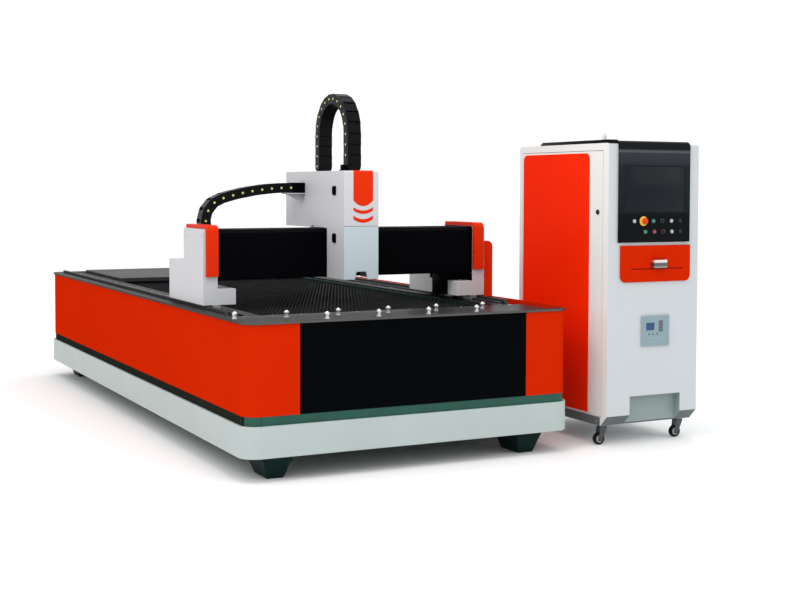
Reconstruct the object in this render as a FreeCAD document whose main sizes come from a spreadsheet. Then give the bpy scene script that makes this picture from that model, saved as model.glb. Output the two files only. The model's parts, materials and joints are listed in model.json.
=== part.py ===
import FreeCAD, Part
import math
import os
import re
import Sketcher

# An open-bed sheet-metal cutting machine with a fibre laser: a flat bed with a slat table, a gantry
# that runs along it, a carriage that runs across the gantry, a head that goes up and down, and the
# control cabinet that stands beside the bed on casters.
#
# Bed frame used below: x = 0 on the bed's centre line, +x towards the cabinet; y = 0 at the front of
# the skirt, +y to the rear; z = 0 on the floor.  Each finished piece is then moved so that the origin
# lies under the middle of the whole machine.  Sizes are in millimetres.

doc = FreeCAD.newDocument("laser_cutter")
sheet = doc.addObject("Spreadsheet::Sheet", "Sizes")

SIZES = {
    # bed
    "bed_width": 2100, "bed_length": 4855, "bed_round": 105, "trough_extra": 47,
    "foot_height": 137, "skirt_height": 179, "shadow_gap": 52, "panel_height": 510,
    "skirt_sheet": 4, "skirt_flange": 12, "panel_sheet": 3, "panel_inset": 14, "seam": 2,
    "corner_reach": 300, "front_panel_left": 712, "front_panel_right": 769,
    "side_beam": 190, "beam_inset": 70, "beam_wall": 12, "end_inset": 40, "end_beam": 150,
    "belt_height": 80, "belt_drop": 14,
    "tie_width": 120, "tie_height": 160, "tie_top": 442, "tie_count": 5,
    "foot_top_length": 300, "foot_base_length": 200, "foot_base_width": 100,
    "foot_inset": 56, "foot_shift": 58,
    # table
    "trim_height": 14, "trim_overhang": 11, "trim_side": 75, "trim_front": 67,
    "deck_thickness": 10, "deck_front_depth": 360, "deck_side_width": 82,
    "slat_count": 28, "slat_pitch": 112, "slat_thickness": 4, "slat_top_gap": 2,
    "tooth_count": 8, "tooth_depth": 30, "slat_end_play": 3, "slot_play": 1,
    "comb_depth": 24, "comb_height": 80, "slot_floor": 22,
    "cover_rise": 30, "cover_gap": 20, "cover_sheet": 3,
    "tray_sheet": 3, "tray_height": 120, "tray_gap": 40,
    "post_diameter": 32, "post_height": 36, "ball_diameter": 24, "ball_rise": 8,
    "post_pitch": 325, "post_row_front": 42, "post_row_rear": 250, "post_first": 700,
    "ledge_rise": 20, "ledge_width": 19, "trough_width": 48, "trough_depth": 168, "trough_sheet": 3,
    # guides along the bed
    "rail_inset": 147, "rail_width": 23, "rail_height": 18, "rail_start": 550, "rail_end_gap": 105,
    "rack_inset": 95, "rack_width": 20, "rack_height": 32,
    # gantry
    "gantry_front": 886, "leg_lift": 37, "saddle_thickness": 18, "cover_wall": 3,
    "leg_outer": 986, "leg_column_width": 93, "leg_toe_width": 210, "leg_column_depth": 380,
    "leg_length": 687, "leg_column_height": 463, "leg_block_height": 255, "leg_toe_height": 97,
    "column_gap": 4, "column_steel": 66, "pocket_depth": 13, "leg_block_middle": 154,
    "cap_width": 76, "cap_edge": 16, "cap_thickness": 24, "cap_drop": 289, "cap_round": 38,
    "beam_depth": 300, "beam_height": 288, "beam_setback": 19, "beam_lift": 152, "beam_round": 6,
    "block_length": 100, "block_width": 50, "block_clear": 4, "block_spacing": 250,
    "motor_size": 90, "motor_length": 150, "gearbox_length": 50,
    "pinion_radius": 25, "pinion_width": 9, "pinion_lift": 7, "pinion_teeth": 12, "tooth_height": 4,
    "shaft_radius": 9, "running_gap": 0.3,
    "outboard_width": 68, "outboard_length": 300, "outboard_height": 376, "outboard_round": 40,
    "outboard_drop": 13,
    # guides across the beam
    "cross_rail_front": 35, "cross_rail_rear": 265, "cross_rail_height": 18, "cross_rail_width": 23,
    "cross_rack_at": 190, "cross_rack_width": 20, "cross_rack_height": 30, "cross_end_gap": 20,
    # carriage and head
    "carriage_left": 174, "carriage_width": 235, "carriage_front": 611, "carriage_length": 948,
    "carriage_top": 1737, "carriage_step": 1378, "carriage_base": 1065, "carriage_round": 12,
    "carriage_split": 1395, "hood_sheet": 3, "plate_thickness": 20, "plate_side_gap": 20,
    "cross_block_length": 70, "cross_block_height": 30, "cross_block_lift": 3,
    "notch_width": 82, "notch_top_width": 66, "notch_height": 48,
    "latch_width": 53, "latch_height": 56, "latch_at": 144, "latch_low": 253, "latch_high": 549,
    "stripe_width": 133, "stripe_drop": 218, "stripe_thickness": 2, "stripe_band": 14,
    "slide_width": 150, "slide_height": 260, "slide_thickness": 18,
    "lift_rail_height": 10, "lift_rail_width": 15, "lift_rail_spacing": 106, "lift_rail_length": 430,
    "head_axis": 105, "head_body": 84, "head_height": 330, "nozzle_height": 46, "nozzle_tip": 9,
    "head_floor": 14, "screw_radius": 8, "screw_length": 345,
    "nut_half": 20, "nut_low": 50, "nut_high": 10, "nut_front": 14,
    # chains
    "chain_height": 64, "chain_width": 93, "chain_pitch": 67, "chain_wall": 7, "chain_bar": 18,
    "chain_rest": 1.5,
    "cross_chain_gap": 23, "cross_chain_radius": 153, "cross_chain_bend_at": 700,
    "cross_chain_fixed": 60, "cross_chain_rise": 16.7, "cross_chain_sweep": 1650,
    "chain_shelf": 6, "chain_shelf_lift": 155,
    "lift_chain_radius": 223, "lift_chain_base": 3, "lift_chain_leg": 239,
    "side_chain_height": 40, "side_chain_width": 36, "side_chain_pitch": 85,
    "side_chain_radius": 60, "side_chain_fixed": 2500, "side_chain_bend": 2780,
    "chain_arm_rear": 1100, "chain_arm_depth": 60, "chain_arm_sheet": 13, "chain_tongue": 81,
    # cabinet
    "cabinet_gap": 265, "cabinet_width": 710, "cabinet_depth": 1040, "cabinet_base": 128,
    "cabinet_top": 1917, "cabinet_sheet": 3, "cabinet_round": 18, "toe_chamfer": 66,
    "toe_width": 394, "toe_top": 310, "toe_depth": 52,
    "door_front": 60, "door_back": 40, "door_low": 182, "door_high": 1872, "door_gap": 3,
    "hinge_radius": 3, "hinge_in": 7, "hinge_back": 8, "hinge_block": 12,
    "door_flange": 22, "door_skin": 4, "door_skin_front": 205, "door_skin_margin": 12,
    "door_skin_round": 40, "lock_y": 112, "lock_z": 1483, "lock_radius": 16, "lock_reach": 14,
    "console_left": 71, "console_width": 558, "console_low": 1291, "console_depth": 16,
    "console_short": 150, "console_round": 36,
    "screen_width": 463, "screen_low": 1482, "screen_high": 1773, "screen_recess": 5,
    "button_high": 1426, "button_low": 1358, "button_first": 185, "button_pitch": 73,
    "low_first": 268, "low_pitch": 71,
    "button_radius": 11, "bezel_radius": 15, "bezel_depth": 8, "cap_reach": 12, "button_travel": 3,
    "estop_radius": 20, "estop_ring": 30, "estop_reach": 34, "estop_travel": 5,
    "drawer_width": 548, "drawer_low": 1039, "drawer_high": 1271, "drawer_front": 12,
    "drawer_round": 40, "drawer_tray_depth": 420, "drawer_tray_height": 90, "drawer_play": 5,
    "handle_width": 111, "handle_z": 1153, "handle_reach": 30, "handle_bar": 12,
    "controller_left": 259, "controller_width": 218, "controller_low": 626, "controller_high": 822,
    "controller_depth": 12,
    "caster_inset": 52, "wheel_radius": 38, "wheel_width": 30, "caster_trail": 28,
    "caster_plate": 70, "caster_plate_thickness": 5, "fork_wall": 4, "fork_gap": 2, "axle_radius": 4,
    "source_width": 430, "source_depth": 560, "source_height": 330,
    "beacon_radius": 17, "beacon_height": 66, "beacon_y": 100,
    "drawer_shift": 14, "drawer_groove": 33, "handle_shift": 17, "handle_height": 51,
    "plate_clear": 12, "plate_web": 25, "plate_rise": 22, "plate_head": 164, "slide_lift": 97,
    "slide_bridge": 40, "post_width": 60, "post_sheet": 10, "arm_sheet": 12, "barrel_height": 130,
    "lift_slot_half": 50, "lift_chain_at": 136, "nose_depth": 261, "stripe_shift": 12,
    "stripe_pitch": 62, "latch_depth": 14, "tray_inset": 14, "tray_rise": 23,
}

for row, (name, value) in enumerate(SIZES.items(), start=1):
    sheet.set(f"A{row}", name)
    sheet.set(f"B{row}", str(value))
    sheet.setAlias(f"B{row}", name)

doc.recompute()

# lines that follow from the sizes: the levels, the edges and the places that pieces share
DERIVED = {
    "half_width": "bed_width / 2",
    "bed_right": "half_width + trough_extra",
    "skirt_top": "foot_height + skirt_height",
    "panel_low": "skirt_top + shadow_gap",
    "deck_level": "panel_low + panel_height",
    "panel_face": "half_width - panel_inset",
    "panel_back": "panel_face - panel_sheet",
    "belt_inset": "panel_inset + panel_sheet",
    "beam_outer": "half_width - beam_inset",
    "beam_inner": "beam_outer - side_beam",
    "table_front": "trim_front + deck_front_depth",
    "slat_first": "table_front + slat_pitch / 2",
    "slat_field": "slat_count * slat_pitch",
    "table_rear": "table_front + slat_field",
    "rail_x": "half_width - rail_inset",
    "rack_x": "half_width - rack_inset",
    "rail_end": "bed_length - rail_end_gap",
    "leg_base": "deck_level + leg_lift",
    "saddle_top": "leg_base + saddle_thickness",
    "leg_top": "leg_base + leg_column_height",
    "column_inner": "leg_outer - leg_column_width",
    "column_y": "gantry_front + beam_setback",
    "beam_base": "leg_base + beam_lift",
    "beam_top": "beam_base + beam_height",
    "beam_rear": "column_y + beam_depth",
    "beam_half": "column_inner + pocket_depth",
    "pinion_x": "rack_x - rack_width / 2 - pinion_radius - running_gap",
    "pinion_y": "gantry_front + leg_column_depth + leg_block_middle",
    "cross_rack_y": "column_y + cross_rack_at + cross_rack_width",
    "cross_pinion_y": "cross_rack_y + pinion_radius + running_gap",
    "chain_arm_x": "beam_outer + trough_sheet + trough_width / 2",
    "chain_arm_low": "leg_base - chain_tongue",
    "outboard_low": "leg_base - outboard_drop",
    "link_reach": "chain_height / 2 - 1",
    "carriage_right": "carriage_width - carriage_left",
    "carriage_middle": "carriage_right - carriage_width / 2",
    "carriage_rear": "carriage_front + carriage_length",
    "plate_base": "beam_top + cross_block_lift + cross_block_height",
    "head_y": "carriage_front + head_axis",
    "nose_y": "carriage_front + nose_depth",
    "lift_chain_y": "carriage_front + lift_chain_at",
    "stripe_x": "carriage_middle + stripe_shift",
    "plate_back": "column_y - plate_clear",
    "plate_face": "plate_back - plate_web",
    "plate_reach": "column_y + cross_rail_rear + block_width / 2 + block_clear",
    "plate_low": "carriage_base + plate_rise",
    "plate_high": "plate_base + plate_head",
    "slide_face": "plate_face - lift_rail_height - running_gap - slide_thickness",
    "screw_y": "slide_face + slide_thickness / 2",
    "slide_low": "carriage_base + slide_lift",
    "chain_post_left": "carriage_middle - post_width / 2",
    "chain_post_right": "carriage_middle + post_width / 2",
    "cabinet_left": "bed_right + cabinet_gap",
    "cabinet_right": "cabinet_left + cabinet_width",
    "console_x": "cabinet_left + console_left",
    "hinge_x": "cabinet_left + hinge_in",
    "door_rear": "cabinet_depth - door_back",
    "console_back": "cabinet_depth - console_short",
    "hinge_y": "door_rear - door_gap - hinge_back",
    "toe_left": "cabinet_left + (cabinet_width - toe_width) / 2 + door_flange",
    "tray_left": "console_x + (console_width - drawer_width) / 2 + drawer_shift + tray_inset",
    "tray_right": "console_x + (console_width + drawer_width) / 2 + drawer_shift - tray_inset",
    "tray_low": "drawer_low + tray_rise",
    "origin_x": "(trough_extra + cabinet_gap + cabinet_width) / 2",
    "origin_y": "(bed_length - console_depth - estop_reach) / 2",
}

FUNCTIONS = {"sin", "cos", "tan", "sqrt", "pi", "mm", "deg"}


def bound(formula):
    """A formula in which each size's name points at its cell, and each shared line is spelt out."""
    def point(match):
        word = match.group(0)
        if word in DERIVED:
            return "(" + bound(DERIVED[word]) + ")"
        return word if word in FUNCTIONS else "Sizes." + word
    return re.sub(r"[a-z][a-z0-9_]*", point, str(formula))


def size(formula):
    """The number that a size formula gives."""
    return float(sheet.evalExpression(bound(formula)))


def bind(thing, prop, formula):
    thing.setExpression(prop, bound(formula))


NODES = []


def node(thing, label):
    """Makes a thing one of the machine's pieces and moves it from the bed frame to the origin."""
    rules = {path.lstrip("."): rule for path, rule in thing.ExpressionEngine}
    for axis, shift in (("x", "origin_x"), ("y", "origin_y")):
        path = f"Placement.Base.{axis}"
        rule = rules.get(path, "0")
        thing.setExpression(path, f"({rule}) - {bound(shift)}")
    thing.Label = label
    NODES.append(thing)
    return thing


# ---------------------------------------------------------------- solids from primitives

def box(name, x, y, z):
    """A block between two formulas on each axis."""
    thing = doc.addObject("Part::Box", name)
    for prop, axis, (low, high) in (("Length", "x", x), ("Width", "y", y), ("Height", "z", z)):
        bind(thing, prop, f"({high}) - ({low})")
        bind(thing, f"Placement.Base.{axis}", low)
    return thing


TURNS = {
    "x": FreeCAD.Rotation(FreeCAD.Vector(0, 1, 0), 90),
    "-x": FreeCAD.Rotation(FreeCAD.Vector(0, 1, 0), -90),
    "y": FreeCAD.Rotation(FreeCAD.Vector(1, 0, 0), -90),
    "-y": FreeCAD.Rotation(FreeCAD.Vector(1, 0, 0), 90),
    "z": FreeCAD.Rotation(),
}


def lay(thing, axis, start):
    """Turns a thing so that its own z runs along the axis from the start point."""
    thing.Placement.Rotation = TURNS[axis]
    for letter, formula in zip("xyz", start):
        bind(thing, f"Placement.Base.{letter}", formula)
    return thing


def prism(name, axis, start, radius, length, sides=8):
    """A bar with flat sides, for the small round bars, of which there are many."""
    thing = doc.addObject("Part::Prism", name)
    thing.Polygon = sides
    bind(thing, "Circumradius", radius)
    bind(thing, "Height", length)
    return lay(thing, axis, start)


def bore(name, axis, start, radius, length):
    """A flat-sided hole that clears a turning bar of the radius."""
    return prism(name, axis, start, f"({radius}) / cos(180 deg / 8)", length)


def tapered(name, axis, start, outline, sides=10):
    """A small turned form with flat sides; its outline is (radius, distance along the axis)."""
    rings = []
    for radius, distance in outline:
        turns = [2 * math.pi * index / sides for index in range(sides)]
        out = size(radius)
        rings.append([FreeCAD.Vector(out * math.cos(turn), out * math.sin(turn), size(distance))
                      for turn in turns])
    loops = [rings[0], rings[-1]]
    for low, high in zip(rings, rings[1:]):
        for index in range(sides):
            after = (index + 1) % sides
            loops.append([low[index], low[after], high[after], high[index]])
    faces = [Part.Face(Part.makePolygon(loop + loop[:1])) for loop in loops]
    whole = Part.makeSolid(Part.makeShell(faces))
    if whole.Volume < 0:
        whole.reverse()
    thing = doc.addObject("Part::Feature", name)
    thing.Shape = whole
    return lay(thing, axis, start)


def hollow_bar(name, x, y, z):
    """A closed box beam between two formulas on each axis."""
    inner = [(f"{low} + beam_wall", f"{high} - beam_wall") for low, high in (x, y, z)]
    return cut(name, box(name + "_block", x, y, z), [box(name + "_hollow", *inner)])


def fuse(name, things):
    thing = doc.addObject("Part::MultiFuse", name)
    thing.Shapes = things
    thing.Refine = True
    return thing


def group(name, things):
    """Separate solids that share one node."""
    thing = doc.addObject("Part::Compound", name)
    thing.Links = things
    return thing


def cut(name, base, tools):
    thing = doc.addObject("Part::Cut", name)
    thing.Base = base
    thing.Tool = tools[0] if len(tools) == 1 else group(name + "_tools", tools)
    thing.Refine = True
    return thing


def side_span(side, inner, outer):
    """The x range of something that lies from inner to outer on one side of the centre line."""
    if side > 0:
        return (inner, outer)
    return (f"-({outer})", f"-({inner})")


# ---------------------------------------------------------------- solids from sketches

PLANES = {"xy": "XY_Plane", "xz": "XZ_Plane", "yz": "YZ_Plane"}
NORMALS = {
    "xy": FreeCAD.Vector(0, 0, 1),
    "xz": FreeCAD.Vector(0, 1, 0),
    "yz": FreeCAD.Vector(1, 0, 0),
}


def in_plane(plane, u, v):
    """The point of a body's own frame where a sketch has its (u, v)."""
    points = {"xy": (u, v, 0), "xz": (u, 0, v), "yz": (0, u, v)}
    return FreeCAD.Vector(*points[plane])


def draw(body, plane, corners, name):
    """A closed outline of straight lines, each corner held by two sizes."""
    sketch = body.newObject("Sketcher::SketchObject", name)
    for feature in body.Origin.OriginFeatures:
        if feature.Role == PLANES[plane]:
            sketch.AttachmentSupport = [(feature, "")]
    sketch.MapMode = "FlatFace"
    points = [FreeCAD.Vector(size(u), size(v), 0) for u, v in corners]
    count = len(points)
    for index in range(count):
        sketch.addGeometry(Part.LineSegment(points[index], points[(index + 1) % count]))
    for index in range(count):
        after = (index + 1) % count
        sketch.addConstraint(Sketcher.Constraint("Coincident", index, 2, after, 1))
    for index, corner in enumerate(corners):
        for kind, formula, value in zip(("DistanceX", "DistanceY"), corner, points[index]):
            held = sketch.addConstraint(Sketcher.Constraint(kind, -1, 1, index, 1, value))
            sketch.setExpression(f"Constraints[{held}]", bound(formula))
    return sketch


def solid(name, plane, corners, span):
    """A body whose outline is drawn in a plane and padded between two formulas across it."""
    body = doc.addObject("PartDesign::Body", name)
    sketch = draw(body, plane, corners, name + "_outline")
    pad = body.newObject("PartDesign::Pad", name + "_pad")
    pad.Profile = sketch
    low, high = span
    bind(pad, "Length", f"({high}) - ({low})")
    across = {"xy": "z", "xz": "y", "yz": "x"}[plane]
    start = high if plane == "xz" else low
    bind(body, f"Placement.Base.{across}", start)
    sketch.Visibility = False
    doc.recompute()
    return body


def round_edges(body, plane, corners, radius):
    """Rounds the edges that run across the plane at the given corners of the outline."""
    tip = body.Tip
    wanted = [in_plane(plane, size(u), size(v)) for u, v in corners]
    names = []
    for number, edge in enumerate(tip.Shape.Edges, start=1):
        if not isinstance(edge.Curve, Part.Line):
            continue
        if abs(abs(edge.tangentAt(edge.FirstParameter).dot(NORMALS[plane])) - 1) > 1e-6:
            continue
        at = edge.Vertexes[0].Point
        flat = at - NORMALS[plane] * at.dot(NORMALS[plane])
        if any((flat - point).Length < 1e-3 for point in wanted):
            names.append(f"Edge{number}")
    fillet = body.newObject("PartDesign::Fillet", body.Name + "_round")
    fillet.Base = (tip, names)
    bind(fillet, "Radius", radius)
    doc.recompute()
    return body


def rectangle(u, v):
    """The four corners of an upright rectangle, the lower left one first."""
    return [(u[0], v[0]), (u[1], v[0]), (u[1], v[1]), (u[0], v[1])]


# ---------------------------------------------------------------- energy chains

def trail(start, heading, legs, count):
    """Evenly spaced points on a line of straights and arcs; each leg is (length, turn)."""
    total = sum(length for length, turn in legs)
    points = []
    for index in range(count + 1):
        left = total * index / count
        u, v, angle = start[0], start[1], heading
        for length, turn in legs:
            part = min(left, length)
            bend = turn * part / length
            if abs(bend) > 1e-9:
                radius = part / bend
                u += radius * (math.sin(angle + bend) - math.sin(angle))
                v -= radius * (math.cos(angle + bend) - math.cos(angle))
            else:
                u += part * math.cos(angle)
                v += part * math.sin(angle)
            angle += bend
            left -= part
        points.append((u, v))
    return points


def link(length, height, width, inner):
    """One chain link: two side plates, and on the inner links a bar above and a bar below."""
    wall = size("chain_wall")
    half = height / 2
    reach = half - 1
    outline = [(-reach, 0), (-half / 2, -half), (length + half / 2, -half), (length + reach, 0),
               (length + half / 2, half), (-half / 2, half)]
    inset = wall + size("running_gap") if inner else 0
    solids = []
    for low in (inset, width - inset - wall):
        points = [FreeCAD.Vector(u, low, v) for u, v in outline]
        face = Part.Face(Part.makePolygon(points + points[:1]))
        solids.append(face.extrude(FreeCAD.Vector(0, wall, 0)))
    if inner:
        bar = size("chain_bar")
        for low in (-half, half - wall / 2):
            corner = FreeCAD.Vector((length - bar) / 2, inset + wall, low)
            solids.append(Part.makeBox(bar, width - 2 * (inset + wall), wall / 2, corner))
    return solids


def block(length, height, width, inner):
    """A link of the hidden chain: a plain block, a little narrower on the inner links."""
    narrow = size("chain_wall") / 2 if inner else 0
    corner = FreeCAD.Vector(0, narrow, narrow - height / 2)
    return [Part.makeBox(length, width - 2 * narrow, height - 2 * narrow, corner)]


def chain(name, points, height, width, place, form=link):
    """Links laid from point to point in an upright plane; place carries the plane to the bed frame."""
    copies = []
    for index, (near, far) in enumerate(zip(points, points[1:])):
        length = math.dist(near, far)
        angle = math.degrees(math.atan2(far[1] - near[1], far[0] - near[0]))
        turn = FreeCAD.Rotation(FreeCAD.Vector(0, -1, 0), angle)
        spot = place.multiply(FreeCAD.Placement(FreeCAD.Vector(near[0], 0, near[1]), turn))
        for plate in form(length, height, width, index % 2 == 1):
            copies.append(plate.transformed(spot.toMatrix()))
    thing = doc.addObject("Part::Feature", name)
    thing.Shape = Part.makeCompound(copies)
    return thing


# ---------------------------------------------------------------- bed

def bed_frame():
    """The welded frame: hollow side and end beams, cross ties, the belt, the combs and the feet."""
    front = ("end_inset", "end_inset + end_beam")
    rear = ("bed_length - end_inset - end_beam", "bed_length - end_inset")
    across = ("-beam_inner", "beam_inner")
    belt = ("skirt_top - belt_drop", "skirt_top - belt_drop + belt_height")
    parts = []
    for side, word in ((-1, "left"), (1, "right")):
        x = side_span(side, "beam_inner", "beam_outer")
        parts.append(hollow_bar(f"side_beam_{word}", x, (front[0], rear[1]), ("foot_height", "deck_level")))
        edge = "half_width" if side < 0 else "bed_right"
        x = side_span(side, "beam_outer", f"{edge} - belt_inset")
        parts.append(box(f"belt_{word}", x, ("bed_round", "bed_length - bed_round"), belt))
        x = side_span(side, f"{edge} - bed_round", f"{edge} - belt_inset - seam")
        for end, y in (("front", ("belt_inset + seam", "bed_round")),
                       ("rear", ("bed_length - bed_round", "bed_length - belt_inset - seam"))):
            parts.append(belt_corner(side, f"{word}_{end}", x, y, belt))
        parts.append(comb(side, word))
        for end in ("front", "rear"):
            parts.append(foot(side, word, end))
    for word, y in (("front", front), ("rear", rear)):
        parts.append(hollow_bar(f"end_beam_{word}", across, y, ("deck_level - 2 * end_beam", "deck_level")))
    for index in range(int(size("tie_count"))):
        step = f"(bed_length - 2 * end_inset - tie_width) / (tie_count - 1) * {index}"
        y = (f"end_inset + {step}", f"end_inset + tie_width + {step}")
        parts.append(hollow_bar(f"cross_tie_{index}", across, y, ("tie_top - tie_height", "tie_top")))
    for word, y in (("front", ("belt_inset", "end_inset")),
                    ("rear", ("bed_length - end_inset", "bed_length - belt_inset"))):
        x = ("-half_width + bed_round", "bed_right - bed_round")
        parts.append(box(f"belt_{word}", x, y, belt))
    return node(group("frame_steel", parts), "bed_frame")


def belt_corner(side, word, x, y, z):
    """A block of the belt with the bed's rounded corner, between the end belt and the side belt."""
    corners = [(x[0], y[0]), (x[1], y[0]), (x[1], y[1]), (x[0], y[1])]
    block = solid(f"belt_corner_{word}", "xy", corners, z)
    outer = x[0] if side < 0 else x[1]
    tip = y[0] if "front" in word else y[1]
    round_edges(block, "xy", [(outer, tip)], "bed_round - belt_inset - 2 * seam")
    return block


def comb(side, word):
    """A bar on a side beam's inner face, with a slot for the end of each slat."""
    x = side_span(side, "beam_inner - comb_depth", "beam_inner")
    top = "deck_level - slat_top_gap"
    bar = box(f"comb_bar_{word}", x, ("table_front", "table_rear"), (f"{top} - comb_height", top))
    slots = []
    for index in range(int(size("slat_count"))):
        middle = f"slat_first + slat_pitch * {index}"
        y = (f"{middle} - slat_thickness / 2 - slot_play", f"{middle} + slat_thickness / 2 + slot_play")
        floor = f"{top} - comb_height + slot_floor"
        slots.append(box(f"comb_slot_{word}_{index}", x, y, (floor, f"{top} + 1")))
    return cut(f"comb_{word}", bar, slots)


def foot(side, word, end):
    """A cast foot that narrows towards the floor."""
    if end == "front":
        top_y = ("foot_inset", "foot_inset + foot_top_length")
    else:
        top_y = ("bed_length - foot_inset - foot_top_length", "bed_length - foot_inset")
    shy = "(foot_top_length - foot_base_length) / 2"
    inset = "(side_beam - foot_base_width) / 2"
    thing = doc.addObject("Part::Wedge", f"foot_{word}_{end}")
    x = side_span(side, "beam_inner - foot_shift", "beam_outer - foot_shift")
    # a wedge narrows along its own y axis, which is turned to point down
    thing.Placement.Rotation = FreeCAD.Rotation(FreeCAD.Vector(1, 0, 0), -90)
    values = {
        "Xmin": x[0], "Xmax": x[1], "X2min": f"{x[0]} + {inset}", "X2max": f"{x[1]} - {inset}",
        "Ymin": "0", "Ymax": "foot_height",
        "Zmin": top_y[0], "Zmax": top_y[1],
        "Z2min": f"{top_y[0]} + {shy}", "Z2max": f"{top_y[1]} - {shy}",
    }
    for prop, formula in values.items():
        bind(thing, prop, formula)
    bind(thing, "Placement.Base.z", "foot_height")
    return thing


def skirt():
    """The pale plinth: a folded band round the frame with a flange that rests on the belt."""
    outer = ring("skirt_band", "0", "skirt_sheet", ("foot_height", "skirt_top"))
    top = ("skirt_top - skirt_sheet", "skirt_top")
    flange = ring("skirt_flange", "0", "panel_inset + panel_sheet", top)
    return node(fuse("skirt", [outer, flange]), "base_skirt")


def ring(name, inset, depth, z):
    """A rounded frame round the bed, from an inset to a depth below the skirt's face."""
    solids = []
    for word, edge in (("outer", inset), ("inner", depth)):
        x = (f"-half_width + {edge}", f"bed_right - ({edge})")
        y = (edge, f"bed_length - ({edge})")
        corners = [(x[0], y[0]), (x[1], y[0]), (x[1], y[1]), (x[0], y[1])]
        body = solid(f"{name}_{word}", "xy", corners, z)
        round_edges(body, "xy", corners, f"bed_round - ({edge})")
        solids.append(body)
    return cut(name, solids[0], [solids[1]])


def red_panels():
    """The sheet panels between skirt and table, cut from one rounded band at the seams."""
    z = ("panel_low", "deck_level")
    whole = ("-bed_width", "bed_width")
    band = ring("panel_band", "panel_inset", "panel_inset + panel_sheet", z)
    sides = [
        box("panel_room_left", ("-half_width", "-half_width + bed_round"),
            ("corner_reach + seam", "bed_length - bed_round"), z),
        box("panel_room_right", ("bed_right - bed_round", "bed_right"),
            ("corner_reach + seam", "bed_length - bed_round"), z),
        box("panel_room_rear", whole, ("bed_length - bed_round + seam", "bed_length"), z),
    ]
    corners = [
        box("corner_room_left", ("-half_width", "-front_panel_left - seam"), ("0", "corner_reach"), z),
        box("corner_room_right", ("front_panel_right + seam", "bed_right"), ("0", "corner_reach"), z),
    ]
    front = box("front_room", ("-front_panel_left", "front_panel_right"), ("0", "bed_round"), z)
    for label, rooms in (("side_panels", sides), ("corner_panels", corners), ("front_panel", [front])):
        kept = doc.addObject("Part::MultiCommon", label + "_kept")
        kept.Shapes = [band, rooms[0] if len(rooms) == 1 else group(label + "_rooms", rooms)]
        node(kept, label)


def table_trim():
    """The bright edge strip: along the front, the left and the rear, with rounded corners."""
    z = ("deck_level", "deck_level + trim_height")
    overhang = "panel_inset - trim_overhang"
    band = ring("trim_band", overhang, "trim_side", z)
    inner_room = box("trim_inner_room", ("-half_width + trim_side", "bed_right"),
                     ("trim_front", "bed_length - trim_side"), z)
    right_room = box("trim_right_room", ("bed_right - trim_side", "bed_right"),
                     ("bed_round", "bed_length - bed_round"), z)
    return node(cut("trim", band, [inner_room, right_room]), "table_trim")


def deck():
    """The flat plates: the front deck, the strips beside the slats and the raised rear cover."""
    z = ("deck_level", "deck_level + deck_thickness")
    plates = [
        box("deck_front", ("-half_width + trim_side", "beam_outer"), ("trim_side", "table_front"), z),
        box("deck_corner", ("beam_outer", "panel_back + trough_extra"), ("trim_side", "bed_round"), z),
    ]
    for side, word in ((-1, "left"), (1, "right")):
        x = side_span(side, "beam_inner", "beam_inner + deck_side_width")
        plates.append(box(f"deck_{word}", x, ("table_front + seam", "rail_end"), z))
    rise = ("deck_level", "deck_level + cover_rise")
    x = ("-beam_inner + cover_gap", "beam_inner - cover_gap")
    y = ("table_rear + cover_gap", "rail_end")
    corners = [(x[0], rise[0]), (x[1], rise[0]), (x[1], rise[1]), (x[0], rise[1])]
    cover = solid("rear_cover_block", "xz", corners, y)
    round_edges(cover, "xz", corners[2:], "cover_rise / 3")
    hollow = box("rear_cover_hollow", (f"{x[0]} + cover_sheet", f"{x[1]} - cover_sheet"),
                 (f"{y[0]} + cover_sheet", f"{y[1]} - cover_sheet"), (rise[0], f"{rise[1]} - cover_sheet"))
    legs = []
    for side, word in ((-1, "left"), (1, "right")):
        foot_x = side_span(side, "beam_inner - cover_gap - cover_sheet", "beam_inner + cover_gap / 2")
        legs.append(box(f"rear_cover_flange_{word}", foot_x, y, (rise[0], f"{rise[0]} + cover_sheet")))
    shell = cut("rear_cover_shell", cover, [hollow])
    plates.append(fuse("rear_cover_sheet", [shell] + legs))
    return node(group("deck_sheets", plates), "deck_plates")


def rails_and_racks():
    """A linear rail and a rack along the top of each side beam."""
    bars = []
    along = ("rail_start", "rail_end")
    for side, word in ((-1, "left"), (1, "right")):
        x = side_span(side, "rail_x - rail_width / 2", "rail_x + rail_width / 2")
        rail_z = ("deck_level", "deck_level + rail_height")
        bars.append(guide_rail(f"rail_{word}", "xz", x, rail_z, along))
        x = side_span(side, "rack_x - rack_width / 2", "rack_x + rack_width / 2")
        bars.append(box(f"rack_{word}", x, along, ("deck_level", "deck_level + rack_height")))
    return node(group("rails_and_racks", bars), "bed_rails")


def guide_rail(name, plane, across, z, along):
    """A profiled rail: its head is as wide as its foot and its waist is drawn in."""
    waist = f"(({across[1]}) - ({across[0]})) / 8"
    low, high = z
    rise = f"(({high}) - ({low}))"
    left, right = across
    corners = [
        (left, low), (right, low), (right, f"{low} + {rise} * 0.3"),
        (f"({right}) - {waist}", f"{low} + {rise} * 0.5"), (right, f"{low} + {rise} * 0.7"),
        (right, high), (left, high), (left, f"{low} + {rise} * 0.7"),
        (f"({left}) + {waist}", f"{low} + {rise} * 0.5"), (left, f"{low} + {rise} * 0.3"),
    ]
    return solid(name, plane, corners, along)


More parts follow.
